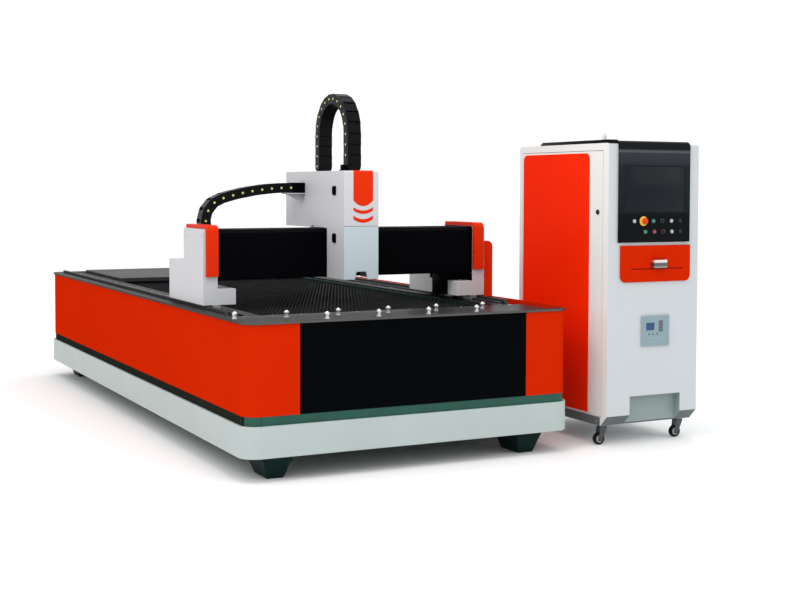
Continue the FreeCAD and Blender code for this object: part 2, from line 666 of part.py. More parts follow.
def slats():
    """The toothed blades of the table, each cut from one strip, standing in the combs' slots."""
    half = size("beam_inner - slat_end_play")
    top = size("deck_level - slat_top_gap")
    floor = size("deck_level - slat_top_gap - comb_height + slot_floor")
    teeth = int(size("tooth_count"))
    step = 2 * size("beam_inner - comb_depth - slat_end_play") / teeth
    root = top - size("tooth_depth")
    outline = [(half, floor), (-half, floor), (-half, root)]
    start = -teeth * step / 2
    for index in range(teeth):
        outline.append((start + index * step, root))
        outline.append((start + (index + 0.5) * step, top))
    outline.append((-start, root))
    outline.append((half, root))
    points = [FreeCAD.Vector(x, 0, z) for x, z in outline]
    blade = Part.Face(Part.makePolygon(points + points[:1]))
    blade = blade.extrude(FreeCAD.Vector(0, size("slat_thickness"), 0))
    copies = []
    for index in range(int(size("slat_count"))):
        y = size(f"slat_first + slat_pitch * {index} - slat_thickness / 2")
        copies.append(blade.translated(FreeCAD.Vector(0, y, 0)))
    thing = doc.addObject("Part::Feature", "slat_set")
    thing.Shape = Part.makeCompound(copies)
    return node(thing, "slats")


def scrap_tray():
    """The open tray under the slats that catches the cut-outs."""
    x = ("-beam_inner + tray_gap", "beam_inner - tray_gap")
    y = ("end_inset + end_beam + tray_gap", "table_rear")
    z = ("tie_top", "tie_top + tray_height")
    outer = box("tray_block", x, y, z)
    inner = box("tray_hollow", (f"{x[0]} + tray_sheet", f"{x[1]} - tray_sheet"),
                (f"{y[0]} + tray_sheet", f"{y[1]} - tray_sheet"), (f"{z[0]} + tray_sheet", f"{z[1]} + 1"))
    return node(cut("tray", outer, [inner]), "scrap_tray")


def ball_transfers():
    """Two staggered rows of posts, each with a captive ball, that carry a sheet on to the table."""
    units = []
    places = []
    for index in range(5):
        places.append((f"post_pitch * {index} - post_first", "post_row_rear", "deck_thickness"))
    for index in range(4):
        x = f"post_pitch * {index} - post_first + post_pitch / 2"
        places.append((x, "post_row_front", "trim_height"))
    places.append(("-half_width + trim_side / 2", "post_row_rear", "trim_height"))
    outline = [("post_diameter / 2", "0"), ("post_diameter / 2", "post_height"),
               ("ball_diameter / 2", "post_height + ball_rise / 2"),
               ("ball_diameter / 4", "post_height + ball_rise")]
    for index, (x, y, seat) in enumerate(places):
        units.append(tapered(f"post_unit_{index}", "z", (x, y, f"deck_level + {seat}"), outline, 6))
    return node(group("post_units", units), "ball_transfers")


def chain_trough():
    """The red trough in the bed's right edge: its outer wall folds over the side panel."""
    inner = "beam_outer"
    outer = "(panel_back + trough_extra)"
    low = "deck_level - trough_depth"
    lip = ("deck_level", "deck_level + ledge_rise")
    corners = [
        (inner, "deck_level"), (inner, low), (outer, low), (outer, lip[0]),
        (f"{outer} + ledge_width - trough_sheet", lip[0]), (f"{outer} + ledge_width - trough_sheet", lip[1]),
        (f"{outer} - trough_sheet", lip[1]), (f"{outer} - trough_sheet", f"{low} + trough_sheet"),
        (f"{inner} + trough_sheet", f"{low} + trough_sheet"), (f"{inner} + trough_sheet", "deck_level"),
    ]
    y = ("bed_round + seam", "bed_length - bed_round - seam")
    return node(solid("trough_fold", "xz", corners, y), "chain_trough")


def side_chain():
    """The chain in the trough that follows the gantry: out along the floor, round and back."""
    half = size("side_chain_height") / 2
    radius = size("side_chain_radius")
    floor = size("deck_level - trough_depth + trough_sheet + running_gap") + half
    straight = size("side_chain_bend - side_chain_fixed")
    back = size("side_chain_bend - chain_arm_rear")
    legs = [(straight, 0), (math.pi * radius, math.pi), (back, 0)]
    count = round(sum(length for length, turn in legs) / size("side_chain_pitch"))
    points = trail((size("side_chain_fixed"), floor), 0, legs, count)
    x = size("beam_outer + trough_sheet + (trough_width + side_chain_width) / 2")
    place = FreeCAD.Placement(FreeCAD.Vector(x, 0, 0), FreeCAD.Rotation(FreeCAD.Vector(0, 0, 1), 90))
    links = chain("side_chain_links", points, 2 * half, size("side_chain_width"), place, block)
    return node(links, "side_chain")


# ---------------------------------------------------------------- gantry

def saddles():
    """Each end's base: a plate on two guide blocks, the steel column and, on the right, the chain arm."""
    ends = []
    for side, word in ((-1, "left"), (1, "right")):
        x = side_span(side, "leg_outer - leg_toe_width + cover_wall", "leg_outer - cover_wall")
        y = ("gantry_front + cover_wall", "gantry_front + leg_length - cover_wall")
        parts = [box(f"saddle_plate_{word}", x, y, ("leg_base", "saddle_top"))]
        x = side_span(side, "beam_half", "beam_half + column_steel")
        parts.append(box(f"saddle_column_{word}", x, ("column_y", "beam_rear"), ("saddle_top", "beam_top")))
        tools = []
        for place in range(2):
            near = f"column_y + block_spacing * {place} + (beam_depth - block_spacing - block_length) / 2"
            y = (near, f"{near} + block_length")
            x = side_span(side, "rail_x - block_width / 2", "rail_x + block_width / 2")
            z = ("deck_level + block_clear", "leg_base")
            parts.append(box(f"guide_block_{word}_{place}", x, y, z))
            reach = "(rail_width / 2 + running_gap)"
            x = side_span(side, f"rail_x - {reach}", f"rail_x + {reach}")
            z = ("deck_level", "deck_level + rail_height + running_gap")
            tools.append(box(f"guide_way_{word}_{place}", x, (f"{y[0]} - 1", f"{y[1]} + 1"), z))
        spot = ("pinion_x" if side > 0 else "-pinion_x", "pinion_y", "leg_base - 1")
        tools.append(bore(f"saddle_bore_{word}", "z", spot, "shaft_radius + running_gap",
                          "saddle_thickness + 2"))
        if side > 0:
            x = ("rack_x + rack_width / 2 + running_gap * 10", "chain_arm_x + side_chain_width / 2")
            y = ("chain_arm_rear - chain_arm_depth", "chain_arm_rear")
            parts.append(box("chain_arm", x, y, ("leg_base - chain_arm_sheet", "leg_base")))
            x = ("chain_arm_x - side_chain_width / 2", "chain_arm_x + side_chain_width / 2")
            z = ("chain_arm_low", "leg_base - chain_arm_sheet")
            parts.append(box("chain_tongue", x, y, z))
        ends.append(cut(f"saddle_{word}", fuse(f"saddle_steel_{word}", parts), tools))
    return node(group("saddles", ends), "y_saddles")


def leg_solid(side, word, inset):
    """The outside form of an end cover, or with an inset the room inside it, open to the floor."""
    top = f"leg_top - {inset}"
    front = f"gantry_front + {inset}"
    low = f"leg_base - {inset}"
    x = side_span(side, f"column_inner + {inset}", f"leg_outer - {inset}")
    corners = rectangle((front, f"gantry_front + leg_column_depth - {inset}"), (low, top))
    column = solid(f"leg_column_{word}_{inset}", "yz", corners, x)
    round_edges(column, "yz", corners[3:], f"cap_round - cap_thickness - {inset}")
    x = side_span(side, f"leg_outer - leg_toe_width + {inset}", f"leg_outer - {inset}")
    y = (front, f"gantry_front + leg_length - {inset}")
    toe = box(f"leg_toe_{word}_{inset}", x, y, (low, f"leg_base + leg_toe_height - {inset}"))
    y = ("gantry_front + leg_column_depth", f"gantry_front + leg_length - {inset}")
    block = box(f"leg_block_{word}_{inset}", x, y, (low, f"leg_base + leg_block_height - {inset}"))
    return fuse(f"leg_form_{word}_{inset}", [column, toe, block])


def end_covers():
    """The white shells over the gantry's ends, open below and towards the beam."""
    shells = []
    for side, word in ((-1, "left"), (1, "right")):
        x = side_span(side, "column_inner - 1", "beam_half + column_gap")
        window = box(f"beam_window_{word}", x, ("column_y - column_gap", "beam_rear + column_gap"),
                     ("beam_base - column_gap", "beam_top + column_gap"))
        outside = leg_solid(side, word, "0")
        inside = leg_solid(side, word, "cover_wall")
        shells.append(cut(f"end_cover_{word}", outside, [inside, window]))
    return node(group("end_cover_shells", shells), "end_covers")


def end_caps():
    """The red bands over the front and top of the end covers."""
    bands = []
    front = "gantry_front"
    rear = "gantry_front + leg_column_depth"
    outer = (f"{front} - cap_thickness", "leg_top + cap_thickness")
    corners = [
        (outer[0], "leg_top - cap_drop"), (front, "leg_top - cap_drop"), (front, "leg_top"),
        (rear, "leg_top"), (rear, outer[1]), outer,
    ]
    for side, word in ((-1, "left"), (1, "right")):
        x = side_span(side, "leg_outer - cap_edge - cap_width", "leg_outer - cap_edge")
        band = solid(f"end_cap_{word}", "yz", corners, x)
        round_edges(band, "yz", corners[2:3], "cap_round - cap_thickness")
        round_edges(band, "yz", corners[5:], "cap_round")
        bands.append(band)
    return node(group("end_cap_bands", bands), "end_caps")


def beam():
    """The hollow beam and the shelf behind it that carries the cross chain."""
    corners = rectangle(("column_y", "beam_rear"), ("beam_base", "beam_top"))
    tube = solid("beam_tube", "yz", corners, ("-beam_half", "beam_half"))
    round_edges(tube, "yz", corners, "beam_round")
    hollow = box("beam_hollow", ("-beam_half - 1", "beam_half + 1"),
                 ("column_y + beam_wall", "beam_rear - beam_wall"),
                 ("beam_base + beam_wall", "beam_top - beam_wall"))
    low = "beam_base + chain_shelf_lift"
    high = f"{low} + chain_shelf"
    out = "beam_rear + cross_chain_gap + chain_width"
    shelf = solid("chain_shelf_fold", "yz", [
        ("beam_rear - 1", f"{low} - chain_width / 2"),
        ("beam_rear + chain_shelf", f"{low} - chain_width / 2"),
        ("beam_rear + chain_shelf", low), (out, low), (out, high), ("beam_rear - 1", high),
    ], ("-cross_chain_bend_at - cross_chain_radius - chain_height / 2",
        "cross_chain_fixed + chain_pitch / 2"))
    pieces = fuse("beam_steel", [tube, shelf])
    return node(cut("beam_open", pieces, [hollow]), "gantry_beam")


def cross_rails():
    """The two rails and the rack on top of the beam."""
    x = ("-beam_half + cross_end_gap", "beam_half - cross_end_gap")
    bars = []
    for word in ("front", "rear"):
        middle = f"column_y + cross_rail_{word}"
        y = (f"{middle} - cross_rail_width / 2", f"{middle} + cross_rail_width / 2")
        z = ("beam_top", "beam_top + cross_rail_height")
        bars.append(guide_rail(f"cross_rail_{word}", "yz", y, z, x))
    y = ("cross_rack_y - cross_rack_width", "cross_rack_y")
    bars.append(box("cross_rack", x, y, ("beam_top", "beam_top + cross_rack_height")))
    return node(group("cross_rails", bars), "x_rails")


def octagon(x, y, half, cut_off):
    """A square outline about a point with its four corners cut off."""
    corners = []
    for sx, sy, first in ((1, -1, 0), (1, 1, 1), (-1, 1, 0), (-1, -1, 1)):
        long_x = (f"{x} + ({sx}) * ({half})", f"{y} + ({sy}) * ({half} - {cut_off})")
        long_y = (f"{x} + ({sx}) * ({half} - {cut_off})", f"{y} + ({sy}) * ({half})")
        corners += [long_x, long_y] if first else [long_y, long_x]
    return corners


def motor(name, middle, base, length, reducer):
    """A square servo motor with chamfered edges on a round reducer."""
    x, y = middle
    half = "motor_size / 2"
    corners = octagon(x, y, half, "motor_size / 8")
    parts = [
        prism(f"{name}_reducer", "z", (x, y, base), f"{half} - cover_wall", reducer, 12),
        solid(f"{name}_case", "xy", corners, (f"{base} + {reducer}", f"{base} + {reducer} + {length}")),
    ]
    return fuse(name, parts)


def drive_motors():
    left = motor("y_motor_left", ("-pinion_x", "pinion_y"), "saddle_top", "motor_length", "gearbox_length")
    right = motor("y_motor_right", ("pinion_x", "pinion_y"), "saddle_top", "motor_length", "gearbox_length")
    return node(group("drive_motors", [left, right]), "y_motors")


def pinion(label, spot, top):
    """A toothed pinion with its shaft standing on it, turned by the motor above."""
    teeth = int(size("pinion_teeth"))
    outer = size("pinion_radius")
    root = outer - size("tooth_height")
    points = []
    for index in range(teeth):
        for share, radius in ((0.0, root), (0.3, outer), (0.7, outer)):
            angle = 2 * math.pi * (index + share) / teeth
            points.append(FreeCAD.Vector(radius * math.cos(angle), radius * math.sin(angle), 0))
    face = Part.Face(Part.makePolygon(points + points[:1]))
    wheel = face.extrude(FreeCAD.Vector(0, 0, size("pinion_width")))
    gear = doc.addObject("Part::Feature", label + "_wheel")
    gear.Shape = wheel
    lay(gear, "z", spot)
    shaft = prism(label + "_shaft", "z", spot, "shaft_radius", f"({top}) - running_gap - ({spot[2]})")
    return node(fuse(label + "_form", [gear, shaft]), label)


def outboard_cover():
    """The red shell outside the right end over the chain's arm; its top outer edge is rounded."""
    z = ("outboard_low", "outboard_low + outboard_height")
    y = ("gantry_front + column_gap", "gantry_front + column_gap + outboard_length")
    shells = []
    for word, inset, base in (("out", "0", "leg_outer"), ("in", "cover_wall", "leg_outer - 1")):
        corners = rectangle((base, f"leg_outer + outboard_width - {inset}"),
                            (f"{z[0]} - {inset}", f"{z[1]} - {inset}"))
        body = solid(f"outboard_{word}", "xz", corners, (f"{y[0]} + {inset}", f"{y[1]} - {inset}"))
        round_edges(body, "xz", corners[2:3], f"outboard_round - {inset}")
        shells.append(body)
    return node(cut("outboard_shell", shells[0], shells[1:]), "outboard_cover")


def beam_chain():
    """The cross chain: along its shelf to the left, round its bend and up to the carriage."""
    radius = size("cross_chain_radius")
    rise = math.radians(size("cross_chain_rise"))
    sweep = size("cross_chain_sweep")
    level = size("beam_base + chain_shelf_lift + chain_shelf + chain_rest + chain_height / 2")
    bend_x = -size("cross_chain_bend_at")
    top_x = bend_x - radius * math.sin(rise) + sweep * math.sin(rise)
    legs = [
        (size("cross_chain_fixed") - bend_x, 0), (radius * (math.pi - rise), rise - math.pi),
        (sweep * rise, -rise), (-size("carriage_left + link_reach + running_gap") - top_x, 0),
    ]
    count = round(sum(length for length, turn in legs) / size("chain_pitch"))
    points = trail((size("cross_chain_fixed"), level), math.pi, legs, count)
    place = FreeCAD.Placement(FreeCAD.Vector(0, size("beam_rear + cross_chain_gap"), 0), FreeCAD.Rotation())
    thing = chain("cross_chain_links", points, size("chain_height"), size("chain_width"), place)
    return node(thing, "beam_chain")


# ---------------------------------------------------------------- carriage and head

def carriage_shell():
    """The whole sheet cover of the carriage: open below, and behind the head to the beam."""
    shells = []
    for word, inset, past in (("out", "0", "0"), ("in", "hood_sheet", "1")):
        front = f"carriage_front + {inset}"
        rear = f"carriage_rear - {inset}"
        low = f"carriage_base - {past}"
        step = f"carriage_step - {past}"
        top = f"carriage_top - {inset}"
        corners = [(front, low), (f"nose_y + {past}", low), (f"nose_y + {past}", step),
                   (rear, step), (rear, top), (front, top)]
        x = (f"-carriage_left + {inset}", f"carriage_right - {inset}")
        body = solid(f"carriage_{word}", "yz", corners, x)
        round_edges(body, "yz", corners[4:], f"carriage_round - {inset}")
        shells.append(body)
    return cut("carriage_sheet", shells[0], shells[1:])


def carriage_covers():
    """The cover, cut where its front lower part is a cover of its own, with the head's notch in it."""
    shell = carriage_shell()
    wide = ("-carriage_left - 1", "carriage_right + 1")
    deep = ("carriage_front - 1", "carriage_front + carriage_round")
    room = box("front_cover_room", wide, deep, ("carriage_base - 1", "carriage_split"))
    slot = box("lift_chain_slot", ("carriage_middle - lift_slot_half", "carriage_middle + lift_slot_half"),
               ("lift_chain_y - chain_height / 2 - 4", "lift_chain_y + chain_height / 2 + 4"),
               ("carriage_top - carriage_round", "carriage_top + 1"))
    clear = "block_clear"
    window = box("cross_rack_window", wide,
                 (f"cross_rack_y - cross_rack_width - {clear}", f"cross_rack_y + {clear}"),
                 ("carriage_step - 1", f"beam_top + cross_rack_height + {clear}"))
    foot_y = "lift_chain_y + 2 * lift_chain_radius"
    plate = box("lift_chain_foot", ("carriage_middle - chain_width / 2", "carriage_middle + chain_width / 2"),
                (f"{foot_y} - chain_height / 2", f"{foot_y} + chain_height / 2"),
                ("carriage_top", "carriage_top + lift_chain_base"))
    open_shell = cut("carriage_cover_open", shell, [room, slot, window])
    node(fuse("carriage_cover_whole", [open_shell, plate]), "carriage_cover")

    kept = doc.addObject("Part::MultiCommon", "front_cover_kept")
    lower = box("front_cover_part", wide, deep, ("carriage_base - 1", "carriage_split - seam"))
    kept.Shapes = [shell, lower]
    half = "notch_width / 2"
    top = "notch_top_width / 2"
    corners = [
        (f"carriage_middle - {half} - seam", "carriage_base - 1"),
        (f"carriage_middle + {half} + seam", "carriage_base - 1"),
        (f"carriage_middle + {top}", "carriage_base + notch_height"),
        (f"carriage_middle - {top}", "carriage_base + notch_height"),
    ]
    notch = solid("head_notch", "xz", corners, deep)
    node(cut("front_cover_notched", kept, [notch]), "head_front_cover")


def cover_trim():
    """The red band down the front with two curved bars below it, and the latches on the left side."""
    front = "carriage_front"
    face = f"{front} - stripe_thickness"
    low = "carriage_top - stripe_drop"
    over = f"{front} + stripe_width / 2"
    outer_top = "carriage_top + stripe_thickness"
    corners = [(face, low), (front, low), (front, "carriage_top"), (over, "carriage_top"),
               (over, outer_top), (face, outer_top)]
    x = ("stripe_x - stripe_width / 2", "stripe_x + stripe_width / 2")
    band = solid("stripe_band_fold", "yz", corners, x)
    round_edges(band, "yz", corners[2:3], "carriage_round")
    round_edges(band, "yz", corners[5:], "carriage_round + stripe_thickness")
    outline = rectangle(x, (low, f"{outer_top} + 1"))
    shape = solid("stripe_outline", "xz", outline, (f"{face} - 1", f"{over} + 1"))
    round_edges(shape, "xz", outline[:2], "stripe_width * 0.45")
    kept = doc.addObject("Part::MultiCommon", "stripe_kept")
    kept.Shapes = [band, shape]
    things = [kept]
    for index in range(2):
        base = f"{low} - stripe_pitch * {index + 1}"
        quarter = "stripe_width / 4"
        rise = "stripe_band * 1.6"
        line = [(x[0], f"{base} + {rise}"), (f"{x[0]} + {quarter}", base),
                (f"{x[1]} - {quarter}", base), (x[1], f"{base} + {rise}")]
        upper = [(u, f"{v} + stripe_band / 2") for u, v in reversed(line)]
        things.append(solid(f"stripe_bar_{index}", "xz", line + upper, (face, front)))
    for word in ("low", "high"):
        middle = f"carriage_base + latch_{word}"
        left = "-carriage_left"
        plate = rectangle((f"{front} + latch_at - latch_width / 2", f"{front} + latch_at + latch_width / 2"),
                          (f"{middle} - latch_height / 2", f"{middle} + latch_height / 2"))
        base = solid(f"latch_{word}_base", "yz", plate, (f"{left} - latch_depth / 2", left))
        tongue = box(f"latch_{word}_tongue", (f"{left} - latch_depth", f"{left} - latch_depth / 2"),
                     (f"{front} + latch_at - latch_width / 3", f"{front} + latch_at + latch_width / 3"),
                     (f"{middle} - latch_height / 5", f"{middle} + latch_height / 5"))
        things.append(fuse(f"latch_{word}", [base, tongue]))
    return node(group("cover_trim_parts", things), "cover_trim")


def carriage_plate():
    """The angle plate that rides on the beam and carries the lift rails."""
    corners = [
        ("plate_face", "plate_low"), ("plate_back", "plate_low"), ("plate_back", "plate_base"),
        ("plate_reach", "plate_base"), ("plate_reach", "plate_base + plate_thickness"),
        ("plate_back", "plate_base + plate_thickness"), ("plate_back", "plate_high"),
        ("plate_face", "plate_high"),
    ]
    x = ("-carriage_left + plate_side_gap", "carriage_right - plate_side_gap")
    parts = [solid("carriage_angle", "yz", corners, x)]
    tools = [bore("cross_pinion_bore", "z", ("carriage_middle", "cross_pinion_y", "plate_base - 1"),
                  "shaft_radius + running_gap", "plate_thickness + 2")]
    for word in ("front", "rear"):
        middle = f"column_y + cross_rail_{word}"
        for end, x_span in (("left", (x[0], f"{x[0]} + cross_block_length")),
                            ("right", (f"{x[1]} - cross_block_length", x[1]))):
            parts.append(box(f"cross_block_{word}_{end}", x_span,
                             (f"{middle} - block_width / 2", f"{middle} + block_width / 2"),
                             ("beam_top + cross_block_lift", "plate_base")))
        half = "(cross_rail_width / 2 + running_gap)"
        tools.append(box(f"cross_way_{word}", (f"{x[0]} - 1", f"{x[1]} + 1"),
                         (f"{middle} - {half}", f"{middle} + {half}"),
                         ("beam_top", "beam_top + cross_rail_height + running_gap")))
    for side in (-1, 1):
        middle = f"carriage_middle + lift_rail_spacing / 2 * ({side})"
        parts.append(box(f"lift_rail_{side + 1}",
                         (f"{middle} - lift_rail_width / 2", f"{middle} + lift_rail_width / 2"),
                         ("plate_face - lift_rail_height", "plate_face"),
                         ("plate_low + block_clear", "plate_low + block_clear + lift_rail_length")))
    return node(cut("carriage_steel", fuse("carriage_parts", parts), tools), "carriage_plate")


def carriage_motors():
    cross = motor("x_motor", ("carriage_middle", "cross_pinion_y"), "plate_base + plate_thickness",
                  "motor_length * 2 / 3", "gearbox_length")
    lift = motor("z_motor", ("carriage_middle", "screw_y"), "plate_high",
                 "motor_length * 2 / 3", "gearbox_length / 2")
    return node(group("carriage_drives", [cross, lift]), "carriage_motors")


def lift_screw():
    """The ball screw of the head, hanging from its motor, with a turned journal at each end."""
    length = "screw_length"
    neck = "screw_radius * 0.7"
    outline = [(neck, "0"), ("screw_radius", "screw_radius"),
               ("screw_radius", f"{length} - 3 * screw_radius"), (neck, f"{length} - 2 * screw_radius"),
               (neck, length)]
    at = ("carriage_middle", "screw_y", "plate_high - running_gap - screw_length")
    return node(tapered("screw_form", "z", at, outline), "z_screw")


def head_slide():
    """The slide on the lift rails, with the screw's nut and the arm that carries the lift chain."""
    middle = "carriage_middle"
    top = "slide_low + slide_height"
    x = (f"{middle} - slide_width / 2", f"{middle} + slide_width / 2")
    y = ("slide_face", "slide_face + slide_thickness")
    way = "screw_radius + block_clear"
    nut_low = f"{top} - nut_low"
    nut_high = f"{top} - nut_high"
    parts = [
        box("slide_plate", x, y, ("slide_low", top)),
        box("screw_nut", (f"{middle} - nut_half", f"{middle} + nut_half"), ("slide_face - nut_front", y[1]),
            (nut_low, nut_high)),
        box("chain_arm_plate", ("chain_post_left", "chain_post_right"),
            ("lift_chain_y - post_sheet", "slide_face"), (f"{top} - arm_sheet", top)),
        box("chain_post", ("chain_post_left", "chain_post_right"),
            ("lift_chain_y - post_sheet", "lift_chain_y + post_sheet"),
            (f"{top} - arm_sheet", "carriage_top + lift_chain_base")),
    ]
    tools = [
        box("screw_way_low", (f"{middle} - ({way})", f"{middle} + ({way})"),
            (f"{y[0]} - nut_half", f"{y[1]} + 1"),
            ("slide_low + slide_bridge", nut_low)),
        box("screw_way_high", (f"{middle} - ({way})", f"{middle} + ({way})"),
            (f"screw_y - ({way})", f"{y[1]} + 1"), (nut_high, f"{top} + 1")),
        bore("nut_bore", "z", (middle, "screw_y", f"{nut_low} - 1"), "screw_radius + running_gap",
             f"{nut_high} - ({nut_low}) + 2"),
    ]
    steel = fuse("slide_parts", parts)
    return node(cut("slide_open", steel, tools), "head_slide")


def cutting_head():
    """The laser head: a chamfered body, the focus barrel and the nozzle's cone."""
    tip = "carriage_base + head_floor"
    radius = "head_body * 0.4"
    cone = "head_body * 0.31"
    outline = [("nozzle_tip / 2", "0"), (cone, "nozzle_height"), (radius, "nozzle_height + nozzle_tip"),
               (radius, "barrel_height")]
    middle = "carriage_middle"
    half = "head_body / 2"
    parts = [
        tapered("focus_barrel", "z", (middle, "head_y", tip), outline, 16),
        solid("head_case", "xy", octagon(middle, "head_y", half, "head_body / 8"),
              (f"{tip} + barrel_height", f"{tip} + head_height")),
        prism("fibre_plug", "z", (middle, "head_y", f"{tip} + head_height"), "head_body / 5",
              "head_body / 2"),
        box("head_mount", (f"{middle} - {half} * 0.8", f"{middle} + {half} * 0.8"),
            (f"head_y + {half}", "slide_face"),
            (f"{tip} + barrel_height + head_body / 6", f"{tip} + head_height - head_body / 2")),
    ]
    return node(fuse("head_form", parts), "cutting_head")


def lift_chain():
    """The lift chain: an arch from the head's post to the foot on the cover."""
    start = size("carriage_top + lift_chain_base + link_reach")
    leg = size("carriage_top + lift_chain_leg") - start
    radius = size("lift_chain_radius")
    legs = [(leg, 0), (math.pi * radius, -math.pi), (leg, 0)]
    count = round(sum(length for length, turn in legs) / size("chain_pitch"))
    points = trail((size("lift_chain_y"), start), math.pi / 2, legs, count)
    turn = FreeCAD.Rotation(FreeCAD.Vector(0, 0, 1), 90)
    place = FreeCAD.Placement(FreeCAD.Vector(size("carriage_middle + chain_width / 2"), 0, 0), turn)
    thing = chain("lift_chain_links", points, size("chain_height"), size("chain_width"), place)
    return node(thing, "z_chain")


# ---------------------------------------------------------------- cabinet

def cabinet_form(word, inset):
    """The cabinet's outside, or with an inset its inside: the lower front edge is cut at 45 degrees."""
    slope = f"(sqrt(2) - 1) * ({inset})"
    corners = [
        (inset, f"cabinet_base + toe_chamfer + {slope}"),
        (f"toe_chamfer + {slope}", f"cabinet_base + {inset}"),
        (f"cabinet_depth - ({inset})", f"cabinet_base + {inset}"),
        (f"cabinet_depth - ({inset})", f"cabinet_top - {inset}"), (inset, f"cabinet_top - {inset}"),
    ]
    x = (f"cabinet_left + {inset}", f"cabinet_right - {inset}")
    body = solid(f"cabinet_{word}", "yz", corners, x)
    radius = f"cabinet_round - {inset}"
    round_edges(body, "yz", corners[3:], radius)
    return body


def cabinet_shell():
    """The cabinet's case with its door opening, drawer slot and toe recess, and the caster plates."""
    outside = cabinet_form("out", "0")
    inside = cabinet_form("in", "cabinet_sheet")
    wall = ("cabinet_left - 1", "cabinet_left + cabinet_sheet + 1")
    door = box("door_opening", wall, ("door_front", "door_rear"), ("door_low", "door_high"))
    toe = toe_box("toe_opening", "cabinet_sheet", "1")
    slot = box("drawer_slot", ("tray_left - drawer_play", "tray_right + drawer_play"),
               ("-1", "cabinet_sheet + 1"),
               ("tray_low - drawer_play", "tray_low + drawer_tray_height + drawer_play"))
    case = cut("cabinet_case", outside, [inside, door, toe, slot])
    plates = []
    for index, (x, y) in enumerate(caster_places()):
        half = "caster_plate / 2"
        plates.append(box(f"caster_plate_{index}", (f"{x} - {half}", f"{x} + {half}"),
                          (f"{y} - {half}", f"{y} + {half}"),
                          ("cabinet_base - caster_plate_thickness", "cabinet_base + cabinet_sheet / 2")))
    node(fuse("cabinet_whole", [case] + plates + hinge_pins()), "cabinet_shell")

    recess = cut("toe_sheet", toe_box("toe_outside", "cabinet_sheet", "0"), [toe_box("toe_inside", "0", "1")])
    kept = doc.addObject("Part::MultiCommon", "toe_kept")
    kept.Shapes = [recess, outside]
    return node(kept, "toe_plate")


def hinge_pins():
    """The door's two pivots, each a block in the opening's corner with a collar and a pin."""
    parts = []
    half = "hinge_block / 2"
    for word, edge, way in (("low", "door_low", 1), ("high", "door_high", -1)):
        def span(near, far):
            ends = (f"{edge} + ({way}) * ({near})", f"{edge} + ({way}) * ({far})")
            return ends if way > 0 else ends[::-1]
        z = span("-hinge_block", "0")
        parts.append(box(f"hinge_block_{word}", ("cabinet_left + cabinet_sheet / 2", f"hinge_x + {half}"),
                         (f"hinge_y - {half}", f"hinge_y + {half}"), z))
        for piece, radius, far in (("collar", "hinge_radius * 2", "door_gap - running_gap"),
                                   ("pin", "hinge_radius", "door_gap + 2 * cabinet_sheet")):
            low, high = span("-running_gap", far)
            parts.append(prism(f"hinge_{piece}_{word}", "z", ("hinge_x", "hinge_y", low), radius,
                               f"({high}) - ({low})"))
    return parts


def toe_box(name, wall, past):
    """The room of the toe recess in the lower front, grown by a wall and past the faces it opens."""
    x = (f"toe_left - {wall}", f"toe_left + toe_width + {wall}")
    y = (f"-({past})", f"toe_depth + {wall}")
    z = (f"cabinet_base - {past}", f"toe_top + {wall}")
    return box(name, x, y, z)


def cabinet_door():
    """The left side's door leaf with its folded edge, and the red panel with round top corners."""
    z = ("door_low + door_gap", "door_high - door_gap")
    y = ("door_front + door_gap", "door_rear - door_gap")
    leaf = box("door_leaf_block", ("cabinet_left", "cabinet_left + door_flange"), y, z)
    hollow = box("door_leaf_hollow", ("cabinet_left + cabinet_sheet", "cabinet_left + door_flange + 1"),
                 (f"{y[0]} + cabinet_sheet", f"{y[1]} - cabinet_sheet"),
                 (f"{z[0]} + cabinet_sheet", f"{z[1]} - cabinet_sheet"))
    hinge = bore("door_hinge_bore", "z", ("hinge_x", "hinge_y", z[0]), "hinge_radius + running_gap",
                 f"({z[1]}) - ({z[0]})")
    node(cut("door_leaf", leaf, [hollow, hinge]), "cabinet_door")
    corners = rectangle(("door_skin_front", f"{y[1]} - door_skin_margin"),
                        (f"{z[0]} + door_skin_margin", f"{z[1]} - door_skin_margin"))
    skin = solid("door_skin_plate", "yz", corners, ("cabinet_left - door_skin", "cabinet_left"))
    round_edges(skin, "yz", corners[2:], "door_skin_round")
    return node(skin, "door_panel")


def door_lock():
    """The quarter-turn lock: a rim with a grip bar."""
    rim = "lock_radius"
    reach = "lock_reach"
    outline = [(rim, "0"), (rim, f"{reach} * 0.4"), (f"{rim} * 0.8", f"{reach} * 0.6")]
    face = "cabinet_left - running_gap"
    disc = tapered("lock_disc", "-x", (face, "lock_y", "lock_z"), outline, 12)
    grip = box("lock_grip", (f"{face} - {reach}", f"{face} - {reach} * 0.5"),
               (f"lock_y - {rim} * 0.2", f"lock_y + {rim} * 0.2"),
               (f"lock_z - {rim} * 0.7", f"lock_z + {rim} * 0.7"))
    return node(fuse("lock_form", [disc, grip]), "door_lock")


def console():
    """The black console that folds over the top edge, and the screen in its pocket."""
    out = "-console_depth"
    high = "cabinet_top + console_depth"
    corners = [(out, "console_low"), ("0", "console_low"), ("0", "cabinet_top"),
               ("console_back", "cabinet_top"), ("console_back", high), (out, high)]
    hood = solid("console_fold", "yz", corners, ("console_x", "console_x + console_width"))
    round_edges(hood, "yz", corners[2:3], "cabinet_round")
    round_edges(hood, "yz", corners[5:], "console_round")
    left = "console_x + (console_width - screen_width) / 2"
    pocket = box("screen_pocket", (left, f"{left} + screen_width"), (f"{out} - 1", f"{out} + screen_recess"),
                 ("screen_low", "screen_high"))
    node(cut("console_pocketed", hood, [pocket]), "console_hood")
    return node(box("screen_glass", (f"{left} + door_gap / 2", f"{left} + screen_width - door_gap / 2"),
                    (f"{out} + screen_recess / 4", f"{out} + screen_recess"),
                    ("screen_low + door_gap / 2", "screen_high - door_gap / 2")), "screen")


